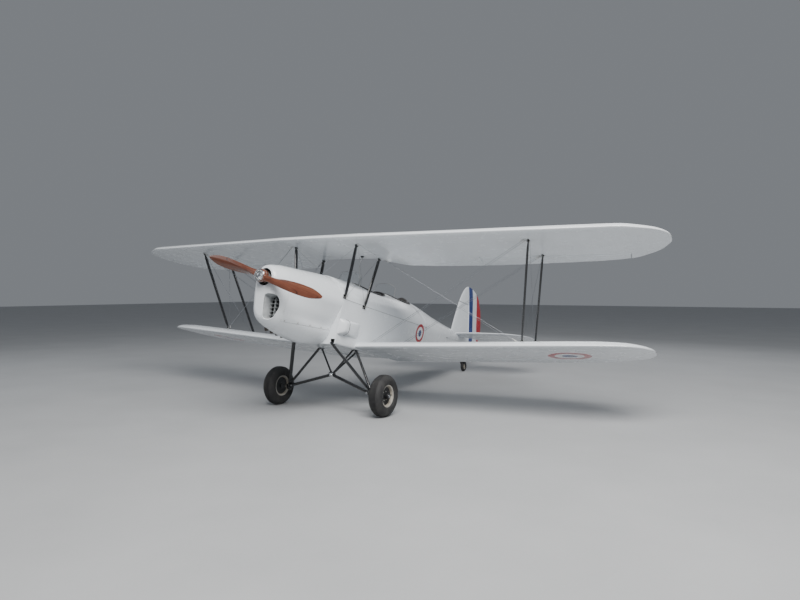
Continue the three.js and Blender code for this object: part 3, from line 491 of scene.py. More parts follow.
def gloss_white(name, marks=None, tapes=None, weave=0.0, dirt=1.0, panels=False, seams=None):
    M = Mat(name, WHITE, 0.25, 0.0)
    M.b.inputs["Coat Weight"].default_value = 0.35
    M.b.inputs["Coat Roughness"].default_value = 0.07
    M.b.inputs["IOR"].default_value = 1.5
    x, y, z = M.xyz()
    big = M.noise(M.level, 1.3, 4.0, 0.6)
    mid = M.noise(M.level, 7.0, 5.0, 0.65)
    fine = M.noise(M.level, 60.0, 3.0, 0.6)
    col = M.mix(M.rng(big, 0.35, 0.7), WHITE, (0.755, 0.79, 0.82))
    # grime that gathers in small patches
    grime = M.op("MULTIPLY", M.rng(mid, 0.52, 0.78), M.rng(fine, 0.3, 0.75))
    col = M.mix(M.op("MULTIPLY", grime, 0.22 * dirt), col, (0.43, 0.42, 0.38))
    # a few tiny chips and bugs
    chips = M.rng(M.voronoi(M.level, 46.0), 0.045, 0.02)
    chips = M.op("MULTIPLY", chips, M.rng(M.noise(M.level, 3.1, 2.0), 0.55, 0.62))
    col = M.mix(M.op("MULTIPLY", chips, 0.5 * dirt), col, (0.33, 0.32, 0.30))
    height = M.op("MULTIPLY", M.noise(M.level, 420.0, 2.0), 0.10)
    height = M.op("ADD", height, M.op("MULTIPLY", M.noise(M.level, 9.0, 2.0), 0.9))
    if panels:
        height = M.op("ADD", height, M.op("MULTIPLY", M.noise(M.level, 3.2, 1.0), 2.2))
    if tapes:
        # tapes over the ribs: (coordinate, start, pitch, half width), with their stitches
        for coord, start, pitch, half, run in tapes:
            c = {"x": M.op("ABSOLUTE", x), "y": y, "z": z}[coord]
            k = M.op("DIVIDE", M.op("SUBTRACT", c, start - pitch / 2), pitch)
            d = M.op("MULTIPLY", M.op("ABSOLUTE", M.op("SUBTRACT", M.op("FRACT", k), 0.5)), pitch)
            tape = M.rng(d, half, half + 0.0018, 1.0, 0.0)
            edge = M.rng(M.op("ABSOLUTE", M.op("SUBTRACT", d, half)), 0.0, 0.0022, 1.0, 0.0)
            r = {"x": x, "y": y, "z": z}[run]
            st = M.op("SUBTRACT", M.op("FRACT", M.op("DIVIDE", r, 0.075)), 0.5)
            stitch = M.op("MULTIPLY", M.rng(M.op("ABSOLUTE", st), 0.03, 0.09, 1.0, 0.0), M.rng(d, 0.003, 0.006, 1.0, 0.0))
            height = M.op("ADD", height, M.op("MULTIPLY", tape, 0.55))
            height = M.op("ADD", height, M.op("MULTIPLY", stitch, 1.1))
            col = M.mix(M.op("MULTIPLY", edge, 0.16), col, (0.50, 0.52, 0.53))
            col = M.mix(M.op("MULTIPLY", tape, 0.10), col, (0.86, 0.885, 0.91))
    if weave:
        w = M.op("ADD", M.wave(M.level, 420.0, 0.6, 1.0, 2.0, "X"), M.wave(M.level, 420.0, 0.6, 1.0, 2.0, "Y"))
        height = M.op("ADD", height, M.op("MULTIPLY", w, weave))
    if seams:
        # dark hairlines between panels: (coordinate, value, half width, mask)
        for coord, val, half in seams:
            c = {"x": x, "y": y, "z": z}[coord]
            d = M.op("ABSOLUTE", M.op("SUBTRACT", c, val))
            line = M.rng(d, half, half * 1.8, 1.0, 0.0)
            col = M.mix(M.op("MULTIPLY", line, 0.55), col, (0.18, 0.19, 0.20))
            height = M.op("SUBTRACT", height, M.op("MULTIPLY", line, 0.9))
    if marks:
        col = ring_marks(M, col, marks(M, x, y, z))
    M.set(Base_Color=col, Roughness=M.op("ADD", M.rng(mid, 0.3, 0.8, 0.16, 0.30), M.op("MULTIPLY", grime, 0.25)))
    M.bump(height, 0.16, 0.0011)
    return M


def metal(name, base, rough=(0.2, 0.4), scale=60, metallic=1.0, stretch=(1, 1, 1), bumpy=0.2, dirt=None, aniso=0.0):
    M = Mat(name, base, 0.3, metallic)
    if aniso:
        M.b.inputs["Anisotropic"].default_value = aniso
    v = M.map(M.co, stretch)
    n = M.noise(v, scale, 4.0, 0.6)
    big = M.noise(M.co, 9.0, 3.0, 0.6)
    col = M.mix(M.rng(n, 0.3, 0.75), tuple(c * 0.82 for c in base), tuple(min(1, c * 1.12) for c in base))
    if dirt:
        col = M.mix(M.rng(big, 0.5, 0.75, 0.0, 0.7), col, dirt)
    M.set(Base_Color=col, Roughness=M.rng(n, 0.25, 0.8, rough[0], rough[1]))
    M.bump(M.op("ADD", n, M.op("MULTIPLY", big, 0.5)), bumpy, 0.0006)
    return M


def painted(name, base, rough=(0.2, 0.35), coat=0.3, wear=None, scale=24, bumpy=0.18):
    M = Mat(name, base, 0.3)
    M.b.inputs["Coat Weight"].default_value = coat
    M.b.inputs["Coat Roughness"].default_value = 0.12
    n = M.noise(M.co, scale, 5.0, 0.62)
    f = M.noise(M.co, 320.0, 2.0, 0.5)
    col = M.mix(M.rng(n, 0.3, 0.75), tuple(c * 0.8 for c in base), tuple(min(1, c * 1.25 + 0.004) for c in base))
    if wear:
        g = M.nt.nodes.new("ShaderNodeNewGeometry")
        edge = M.rng(g.outputs["Pointiness"], 0.53, 0.60)
        edge = M.op("MULTIPLY", edge, M.rng(M.noise(M.co, 70.0, 4.0, 0.7), 0.42, 0.62))
        col = M.mix(edge, col, wear)
    M.set(Base_Color=col, Roughness=M.rng(n, 0.25, 0.8, rough[0], rough[1]))
    M.bump(M.op("ADD", M.op("MULTIPLY", f, 0.25), n), bumpy, 0.0006)
    return M


MATS = {}


def make_materials():
    def side_marks(M, x, y, z):
        return [(y, z, 3.42, -0.164, 0.150, None)]

    def under_marks(M, x, y, z):
        nx, ny, nz = M.xyz(M.normal)
        below = M.rng(nz, -0.05, -0.25)
        return [(M.op("ABSOLUTE", x), y, 2.97, 2.62, 0.272, below)]

    def over_marks(M, x, y, z):
        nx, ny, nz = M.xyz(M.normal)
        above = M.rng(nz, 0.05, 0.25)
        return [(M.op("ABSOLUTE", x), y, 3.25, 1.86, 0.272, above)]

    MATS["ply"] = gloss_white("painted_ply_white", marks=side_marks, dirt=1.0).m
    MATS["cowl"] = gloss_white("cowl_sheet_white", panels=True, dirt=1.25).m
    MATS["fabric"] = gloss_white("doped_fabric_white", weave=0.04).m
    MATS["fuselage_fabric"] = gloss_white("doped_fabric_fuselage", marks=side_marks, weave=0.04,
                                          tapes=[("y", 3.625, 0.46, 0.018, "z")]).m
    MATS["wing_upper"] = gloss_white("doped_fabric_upper_wing", weave=0.04, marks=over_marks,
                                     tapes=[("x", 0.522, RIB, 0.018, "y")]).m
    MATS["wing_lower"] = gloss_white("doped_fabric_lower_wing", weave=0.04, marks=under_marks,
                                     tapes=[("x", 0.340, RIB, 0.018, "y")]).m
    MATS["tail_fabric"] = gloss_white("doped_fabric_tail", weave=0.04, tapes=[("x", 0.06, 0.235, 0.014, "y")]).m
    MATS["centre"] = gloss_white("painted_sheet_centre", panels=True, dirt=0.9,
                                 seams=[("x", 0.30, 0.0012), ("x", -0.30, 0.0012), ("y", 1.02, 0.0010), ("y", 1.62, 0.0010)]).m

    # rudder: blue, white and red bands that follow the hinge line
    M = gloss_white("doped_fabric_rudder", weave=0.04, tapes=[("z", 0.10, 0.235, 0.014, "y")])
    x, y, z = M.xyz()
    s = M.op("SUBTRACT", y, M.op("ADD", 6.190 + 0.155 * 0.275, M.op("MULTIPLY", z, -0.155)))
    base = [l.from_socket for l in M.nt.links if l.to_socket == M.b.inputs["Base Color"]][0]
    e = 0.0012
    f_blue = M.op("MULTIPLY", M.rng(s, -0.001 - e, -0.001 + e), M.rng(s, 0.205 - e, 0.205 + e, 1.0, 0.0))
    f_red = M.rng(s, 0.425 - e, 0.425 + e)
    shade = M.noise(M.level, 5.0, 4.0, 0.6)
    c = M.mix(f_blue, base, M.mix(M.rng(shade, 0.3, 0.7), BLUE, (0.012, 0.042, 0.21)))
    c = M.mix(f_red, c, M.mix(M.rng(shade, 0.3, 0.7), RED, (0.48, 0.018, 0.028)))
    M.set(Base_Color=c)
    MATS["rudder"] = M.m

    MATS["black"] = painted("black_gloss_paint", (0.010, 0.011, 0.013), (0.14, 0.26), 0.5, scale=9).m
    MATS["black_satin"] = painted("black_satin_paint", (0.014, 0.015, 0.017), (0.38, 0.52), 0.1, scale=9).m
    MATS["grey_paint"] = painted("interior_grey_paint", (0.23, 0.25, 0.25), (0.4, 0.6), 0.05, wear=(0.45, 0.46, 0.46)).m
    # grey, darker than the white the duct really has: partly painted shade for the inside of the intake
    MATS["duct"] = painted("duct_grey", (0.40, 0.42, 0.43), (0.35, 0.6), 0.1, scale=14).m
    MATS["steel"] = metal("bright_steel", (0.72, 0.73, 0.75), (0.12, 0.26), 90, aniso=0.3).m
    MATS["wire"] = metal("wire_steel", (0.30, 0.31, 0.33), (0.25, 0.4), 160).m
    MATS["plate"] = metal("plated_steel", (0.62, 0.62, 0.60), (0.25, 0.45), 70, dirt=(0.30, 0.28, 0.25)).m
    MATS["iron"] = metal("engine_iron", (0.16, 0.165, 0.17), (0.45, 0.7), 30, metallic=0.6, dirt=(0.06, 0.055, 0.05)).m
    MATS["exhaust"] = metal("exhaust_steel", (0.10, 0.085, 0.075), (0.4, 0.65), 45, metallic=0.7, dirt=(0.05, 0.04, 0.035)).m
    MATS["alu"] = metal("bare_alloy", (0.66, 0.67, 0.68), (0.28, 0.45), 50, dirt=(0.42, 0.42, 0.41)).m
    MATS["copper"] = metal("copper_pipe", (0.55, 0.27, 0.16), (0.3, 0.5), 60, dirt=(0.2, 0.12, 0.09)).m
    MATS["rim"] = painted("wheel_rim_paint", (0.36, 0.33, 0.28), (0.35, 0.6), 0.1, wear=(0.55, 0.55, 0.54), scale=34).m

    # laminated wood: thin boards glued up fore and aft, with fine grain, under varnish
    M = Mat("laminated_wood", (0.2, 0.05, 0.02), 0.2)
    M.b.inputs["Coat Weight"].default_value = 0.8
    M.b.inputs["Coat Roughness"].default_value = 0.06
    x, y, z = M.xyz()
    r = M.op("SQRT", M.op("ADD", M.op("MULTIPLY", x, x), M.op("MULTIPLY", z, z)))
    board = M.op("ADD", M.op("DIVIDE", y, 0.0125), M.op("MULTIPLY", M.noise(M.level, 1.2, 1.0), 0.25))
    cell = M.op("FLOOR", board)
    tone = M.noise(M.vec(M.op("MULTIPLY", cell, 3.7), 0.0, 0.0), 1.0, 0.0)
    glue = M.rng(M.op("ABSOLUTE", M.op("SUBTRACT", M.op("FRACT", board), 0.5)), 0.455, 0.49)
    ca, sa = math.cos(PROP_ANGLE), math.sin(PROP_ANGLE)
    along = M.op("ADD", M.op("MULTIPLY", x, ca), M.op("MULTIPLY", z, sa))
    across = M.op("SUBTRACT", M.op("MULTIPLY", z, ca), M.op("MULTIPLY", x, sa))
    g = M.vec(M.op("MULTIPLY", along, 2.4), M.op("MULTIPLY", y, 120.0), M.op("MULTIPLY", across, 42.0))
    grain = M.noise(g, 1.0, 6.0, 0.6, 0.6)
    fig = M.noise(M.vec(M.op("MULTIPLY", along, 9.0), M.op("MULTIPLY", y, 9.0), M.op("MULTIPLY", across, 22.0)), 1.0, 3.0, 0.5)
    col = M.ramp(grain, [(0.25, (0.055, 0.013, 0.007)), (0.5, (0.125, 0.032, 0.017)), (0.75, (0.20, 0.065, 0.034))])
    col = M.mix(M.rng(tone, 0.35, 0.65, 0.0, 0.6), col, (0.20, 0.075, 0.04))
    col = M.mix(M.rng(fig, 0.45, 0.7, 0.0, 0.35), col, (0.10, 0.022, 0.012))
    col = M.mix(M.op("MULTIPLY", glue, 0.75), col, (0.035, 0.010, 0.006))
    M.set(Base_Color=col, Roughness=M.rng(grain, 0.3, 0.7, 0.14, 0.28))
    M.bump(M.op("ADD", grain, M.op("MULTIPLY", glue, -0.6)), 0.12, 0.0006)
    MATS["wood"] = M.m

    M = Mat("tyre_rubber", (0.018, 0.018, 0.019), 0.7)
    n = M.noise(M.co, 30.0, 5.0, 0.65)
    dust = M.noise(M.co, 6.0, 3.0, 0.6)
    col = M.mix(M.rng(n, 0.3, 0.7), (0.012, 0.012, 0.013), (0.030, 0.030, 0.031))
    col = M.mix(M.rng(dust, 0.5, 0.75, 0.0, 0.35), col, (0.10, 0.095, 0.085))
    M.set(Base_Color=col, Roughness=M.rng(n, 0.3, 0.7, 0.55, 0.8))
    M.bump(M.op("ADD", n, M.op("MULTIPLY", M.noise(M.co, 500.0, 2.0), 0.5)), 0.3, 0.0007)
    MATS["rubber"] = M.m

    M = Mat("black_leather", (0.02, 0.02, 0.02), 0.45)
    M.b.inputs["Coat Weight"].default_value = 0.1
    cells = M.voronoi(M.co, 260.0)
    pebble = M.voronoi(M.co, 620.0)
    n = M.noise(M.co, 20.0, 4.0, 0.6)
    col = M.mix(M.rng(n, 0.3, 0.7), (0.011, 0.011, 0.012), (0.035, 0.033, 0.032))
    M.set(Base_Color=col, Roughness=M.rng(n, 0.3, 0.7, 0.34, 0.56))
    M.bump(M.op("ADD", M.op("MULTIPLY", cells, 1.2), M.op("ADD", M.op("MULTIPLY", pebble, 0.6), n)), 0.45, 0.0012)
    MATS["leather"] = M.m

    M = Mat("seat_cloth", (0.06, 0.05, 0.04), 0.85)
    M.b.inputs["Sheen Weight"].default_value = 0.25
    w = M.op("ADD", M.wave(M.co, 300.0, 1.0, 1.0, 2.0, "X"), M.wave(M.co, 300.0, 1.0, 1.0, 2.0, "Z"))
    n = M.noise(M.co, 12.0, 4.0, 0.6)
    M.set(Base_Color=M.mix(M.rng(n, 0.3, 0.7), (0.10, 0.035, 0.018), (0.17, 0.065, 0.032)), Roughness=M.rng(w, 0, 2, 0.5, 0.75))
    M.bump(M.op("ADD", w, M.op("MULTIPLY", n, 2.0)), 0.35, 0.0008)
    MATS["cushion"] = M.m

    M = Mat("webbing", (0.2, 0.2, 0.18), 0.8)
    w = M.wave(M.co, 240.0, 0.4, 1.0, 2.0, "DIAGONAL")
    n = M.noise(M.co, 26.0, 3.0, 0.6)
    M.set(Base_Color=M.mix(M.rng(n, 0.3, 0.7), (0.16, 0.17, 0.13), (0.25, 0.25, 0.20)), Roughness=M.rng(w, 0, 1, 0.7, 0.9))
    M.bump(w, 0.5, 0.0008)
    MATS["webbing"] = M.m

    M = Mat("clear_acrylic", (0.97, 0.985, 0.99), 0.02)
    M.b.inputs["Transmission Weight"].default_value = 1.0
    M.b.inputs["IOR"].default_value = 1.45
    n = M.noise(M.co, 22.0, 4.0, 0.7)
    hair = M.noise(M.map(M.co, (300, 20, 20)), 1.0, 2.0, 0.5)
    M.set(Base_Color=M.mix(M.rng(n, 0.45, 0.75, 0.0, 0.5), (0.97, 0.985, 0.99), (0.90, 0.93, 0.94)),
          Roughness=M.rng(n, 0.4, 0.8, 0.01, 0.06))
    M.bump(hair, 0.02, 0.0003)
    MATS["glass"] = M.m

    M = Mat("dial_glass_face", (0.01, 0.01, 0.01), 0.15)
    n = M.noise(M.co, 60.0, 3.0)
    M.set(Base_Color=M.mix(M.rng(n, 0.3, 0.7), (0.008, 0.008, 0.009), (0.016, 0.016, 0.017)), Roughness=M.rng(n, 0.3, 0.7, 0.08, 0.2))
    MATS["dial"] = M.m
    MATS["tick"] = painted("dial_paint", (0.75, 0.75, 0.70), (0.4, 0.6), 0.0).m
    MATS["panel"] = painted("panel_black_paint", (0.020, 0.021, 0.023), (0.4, 0.6), 0.0, wear=(0.2, 0.2, 0.2), scale=80).m

    M = Mat("floor_pale", (0.44, 0.45, 0.46), 0.75)
    n = M.noise(M.co, 0.8, 4.0, 0.6)
    f = M.noise(M.co, 40.0, 3.0, 0.6)
    M.set(Base_Color=M.mix(M.rng(n, 0.3, 0.7), (0.41, 0.42, 0.43), (0.45, 0.46, 0.47)), Roughness=M.rng(f, 0.3, 0.7, 0.65, 0.85))
    M.bump(f, 0.05, 0.001)
    MATS["floor"] = M.m


# ------------------------------------------------------------------- pieces
class Bag:
    """Collects meshes of several materials into one piece."""

    def __init__(self):
        self.p, self.f, self.mi, self.n = [], [], [], 0

    def add(self, mesh, m=0):
        p, f = mesh
        p = np.asarray(p, float)
        self.p.append(p)
        self.f += [tuple(v + self.n for v in q) for q in f]
        self.mi += [m] * len(f)
        self.n += len(p)
        return self

    def both(self, mesh, m=0):
        self.add(mesh, m)
        return self.add(flip_x(mesh), m)


PIECES = {}


def piece(name, bag, mats, body="airframe", replaces=(), sharp=34, recalc=True, raw=False):
    """Makes the object. bag is a Bag or one mesh."""
    if not isinstance(bag, Bag):
        bag = Bag().add(bag)
    mats = [mats] if isinstance(mats, str) else list(mats)
    pts = np.vstack(bag.p)
    pts = pts if raw else P(pts)
    me = bpy.data.meshes.new(name)
    me.from_pydata(pts.tolist(), [], bag.f)
    for m in mats:
        me.materials.append(MATS[m])
    me.polygons.foreach_set("material_index", bag.mi)
    me.validate()
    ob = bpy.data.objects.new(name, me)
    SCENE.collection.objects.link(ob)
    if recalc:
        bm = bmesh.new()
        bm.from_mesh(me)
        bmesh.ops.remove_doubles(bm, verts=bm.verts, dist=1e-6)
        bmesh.ops.dissolve_degenerate(bm, dist=1e-7, edges=bm.edges)
        bmesh.ops.recalc_face_normals(bm, faces=bm.faces)
        bm.to_mesh(me)
        bm.free()
    smooth(ob, sharp)
    if body:
        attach(ob, body)
    if replaces:
        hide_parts(*([replaces] if isinstance(replaces, str) else replaces))
    PIECES[name] = ob
    return ob


def smooth(ob, sharp=34):
    me = ob.data
    me.shade_smooth()
    me.set_sharp_from_angle(angle=math.radians(sharp))


def boolean(ob, mesh, op="DIFFERENCE", m=None, sharp=34):
    """Cuts ob with a mesh given in the level frame."""
    me = bpy.data.meshes.new("cutter")
    me.from_pydata(P(mesh[0]).tolist(), [], mesh[1])
    me.validate()
    if m is not None:
        me.materials.append(MATS[m])
    cutter = bpy.data.objects.new("cutter", me)
    SCENE.collection.objects.link(cutter)
    bm = bmesh.new(); bm.from_mesh(me)
    bmesh.ops.recalc_face_normals(bm, faces=bm.faces)
    bm.to_mesh(me); bm.free()
    mod = ob.modifiers.new("cut", "BOOLEAN")
    mod.operation = op
    mod.solver = "EXACT"
    mod.object = cutter
    if m is not None:
        mod.material_mode = "TRANSFER"
    dg = bpy.context.evaluated_depsgraph_get()
    new = bpy.data.meshes.new_from_object(ob.evaluated_get(dg))
    old = ob.data
    ob.modifiers.clear()
    ob.data = new
    bpy.data.meshes.remove(old)
    bpy.data.objects.remove(cutter)
    bpy.data.meshes.remove(me)
    smooth(ob, sharp)
    return ob


# ------------------------------------------------------------------ tables
PROP_ANGLE = math.radians(-15.5)
RIB = 0.305
FUSELAGE = [
    [1178, 345, 400, -640, -40, 272, 2, 0.5],
    [1800, 350, 410, -648, -48, 303, 1.8, 0.5],
    [2700, 345, 405, -650, -45, 335, 1.8, 0.5],
    [3300, 325, 390, -608, -40, 362, 1.6, 0.54],
    [3625, 308, 372, -572, -33, 368, 1.2, 0.6],
    [4440, 245, 300, -430, -5, 275, 1.2, 0.6],
    [5390, 125, 160, -235, 50, 200, 1.2, 0.6],
    [6120, 27, 31, -80, 88, 180, 2, 0.5],
    [6230, 24, 26, -62, 92, 178, 2, 0.5],
]
FUS = Table(FUSELAGE)
DECK = 9


def arch(y, a, o=0.0):
    """Point (x, z) of the top's curve, a radians up from the port longeron."""
    wb, wt, zb, zl, zc, p, r = FUS(y)
    c = np.abs(np.cos(a))
    s = np.sign(np.cos(a))
    return s * (wt + o) * c, zl + (zc + o - zl) * np.maximum(0, 1 - c ** p) ** r


def deck_z(x, y):
    wb, wt, zb, zl, zc, p, r = FUS(y)
    c = np.clip(np.abs(x) / wt, 0, 1)
    return zl + (zc - zl) * np.maximum(0, 1 - c ** p) ** r


def side_x(y, z):
    """Half width of the flat side at a height between the corner and the longeron."""
    wb, wt, zb, zl = FUS(y)[:4]
    return wb + (wt - wb) * (z - zb - 26) / (zl - zb - 26)


def lower_half(y, inset=0.0, top=0.0, R=26.0, n_side=9, n_cor=6, n_bot=5):
    """Outer half section from the upper longeron down to the middle of the bottom."""
    wb, wt, zb, zl = [float(v) for v in FUS(y)[:4]]
    Rr = min(R, wb * 0.8)
    pts = [(wt - inset + (wb - wt) * t, (zl - top) + (zb + Rr - zl + top) * t) for t in np.linspace(0, 1, n_side)]
    for t in np.linspace(0, math.pi / 2, n_cor)[1:]:
        pts.append((wb - Rr + (Rr - inset) * math.cos(t), zb + Rr - (Rr - inset) * math.sin(t)))
    for t in np.linspace(0, 1, n_bot)[1:]:
        pts.append(((wb - Rr) * (1 - t), zb + inset))
    return np.array(pts)


COWL = Table([
    [108, 128, 118, -12, 100, -325, -468],
    [128, 146, 142, -18, 128, -340, -503],
    [165, 160, 168, -28, 152, -350, -532],
    [225, 174, 203, -38, 178, -362, -556],
    [320, 190, 242, -50, 202, -375, -588],
    [620, 218, 318, -80, 228, -395, -656],
    [900, 246, 366, -98, 244, -410, -684],
    [1166, 268, 398, -110, 256, -425, -664],
])


def cowl_half(y, n=64, o=0.0):
    zt, wu, zu, wl, zl, zb = [float(v) for v in COWL(y)]
    pts = []
    for a in (90, 75, 60, 45, 30, 15):
        t = math.radians(a)
        pts.append((wu * math.cos(t), zu + (zt - zu) * math.sin(t)))
    pts += [(wu, zu), ((wu * 2 + wl) / 3 + 4, (zu * 2 + zl) / 3), ((wu + wl * 2) / 3 + 6, (zu + zl * 2) / 3), (wl, zl)]
    for a in (15, 30, 45, 60, 75, 90):
        t = math.radians(a)
        pts.append((wl * math.cos(t), zl + (zb - zl) * math.sin(t)))
    line = spline(pts, n)
    if o:
        d = np.gradient(line, axis=0)
        nrm = np.stack([-d[:, 1], d[:, 0]], -1)
        nrm /= np.linalg.norm(nrm, axis=1, keepdims=True)
        line = line + nrm * o
        line[0, 0] = 0.0
        line[-1, 0] = 0.0
    return line


def cowl_seam(y):
    return -500 + (y - 200) * 38 / 1100


def full_ring(half, y):
    """Half section from the top centre round port to the bottom centre, closed on the other side."""
    left = half[1:-1][::-1].copy()
    left[:, 0] *= -1
    r = np.vstack([half, left])
    return np.stack([r[:, 0], np.full(len(r), y) if np.isscalar(y) else y, r[:, 1]], -1)


# ------------------------------------------------------------------- nose
def build_nose():
    ys = [114, 118, 124, 132, 142, 154, 168, 186, 208, 232, 258, 282, 300]
    rings = []
    for inset, y in ((26, 107.0), (17, 107.4), (10, 108.6), (4.5, 110.8)):
        rings.append(full_ring(cowl_half(109, 56, -inset), y))
    for y in ys:
        rings.append(full_ring(cowl_half(y, 56), y))
    bowl = piece("nose_bowl_shell", lofted(rings), "cowl", replaces="nose_bowl")
    inner = [full_ring(cowl_half(max(y, 109), 56, -4 - (5 if y < 117 else 0)), y) for y in (111.5, 117.5, 126, 142, 168, 208, 258, 306)]
    # the bowl's inner faces take the duct's grey, partly painted shade
    boolean(bowl, lofted(inner), m="duct")
    boolean(bowl, rod([0, 60, 0], [0, 180, 0], 106, 72))
    out = spline(INTAKE, 96, True)
    mid = np.array([110.0, -345.0])
    sy = np.linspace(109, 330, 120)
    contours = [cowl_half(float(y), 90) for y in sy]

    def skin_y(x, z):
        """How far aft the bowl's skin lies at a point of the front view."""
        w = np.maximum.accumulate([np.interp(-z, -h[:, 1], h[:, 0]) for h in contours])
        return 107.4 if x <= w[0] - 6 else max(109.5, float(np.interp(x, w, sy)))
    edge_y = np.array([skin_y(x, z) for x, z in out])
    edge_y = np.array([np.mean(np.take(edge_y, range(i - 2, i + 3), mode="wrap")) for i in range(len(edge_y))])
    flat = lambda y, k=1.0: np.stack([mid[0] + (out[:, 0] - mid[0]) * k, np.full(len(out), y), mid[1] + (out[:, 1] - mid[1]) * k], -1)
    boolean(bowl, lofted([flat(60), flat(262)]))
    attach(bowl, "airframe")
    # rolled lips: one round the shaft, one that follows the skin round the intake
    lips = Bag()
    a = np.linspace(0, 2 * math.pi, 72, endpoint=False)
    lips.add(tube(np.stack([107.5 * np.cos(a), np.full(72, 110.0), 107.5 * np.sin(a)], -1), 4.0, 12, True))
    lip = np.stack([out[:, 0], edge_y + 3.0, out[:, 1]], -1)
    lips.add(tube(lip, 5.0, 12, True))
    piece("nose_lips", lips, "cowl")
    # the duct behind the intake, its grey partly painted shade
    duct = []
    for t in (0.0, 0.12, 0.35, 0.65, 1.0):
        k = 1.0 - 0.13 * t
        duct.append(np.stack([mid[0] + (out[:, 0] - mid[0]) * k, edge_y + 3 + (264 - edge_y - 3) * t, mid[1] + (out[:, 1] - mid[1]) * k], -1))
    d = Bag()
    d.add(shell(duct, -2.0, axis=(110, None, -345), closed_v=True))
    # cooling vanes inside the duct
    for i, zz in enumerate((-255, -300, -345, -390, -435)):
        d.add(block(48, 160 - abs(i - 1.2) * 12, 216, 254, zz - 1.4, zz + 1.4, 0.6), 0)
    d.add(block(108, 110.6, 222, 256, -455, -222, 0.6), 0)
    piece("intake_duct", d, ["duct"])
    # front of the crankcase and its nuts, seen through the round opening
    c = Bag()
    c.add(lathe([(38.5, 132), (54, 132), (60, 138), (63, 168), (92, 176), (98, 184), (98, 196), (120, 204), (132, 230), (138, 322), (44, 322), (38.5, 300), (38.5, 132)], (0, 0, 0), (0, 1, 0), 48), 0)
    for k in range(10):
        t = k * math.pi / 5 + 0.2
        c.add(bolt([86 * math.cos(t), 176.5, 86 * math.sin(t)], (0, -1, 0), 6.5, 6, turn=t), 1)
    for k in range(6):
        t = k * math.pi / 3
        c.add(bolt([57 * math.cos(t), 134, 57 * math.sin(t)], (0, -1, 0), 3.6, 3, False, t), 1)
    # a magneto lead and an oil pipe on the crankcase
    c.add(tube(spline([[-62, 208, 66], [-76, 190, 40], [-84, 182, 4], [-78, 180, -36], [-88, 200, -66]], 26), 5.2, 10), 2)
    c.add(tube(spline([[70, 214, 60], [84, 196, 30], [90, 188, -6], [96, 206, -60]], 22), 3.6, 10), 3)
    piece("crankcase_front", c, ["iron", "plate", "black_satin", "copper"])


INTAKE = np.array([(36, -212), (60, -198), (130, -193), (166, -202), (184, -250), (184, -310), (174, -375), (146, -450), (112, -486), (70, -498), (44, -484), (36, -440)], float)


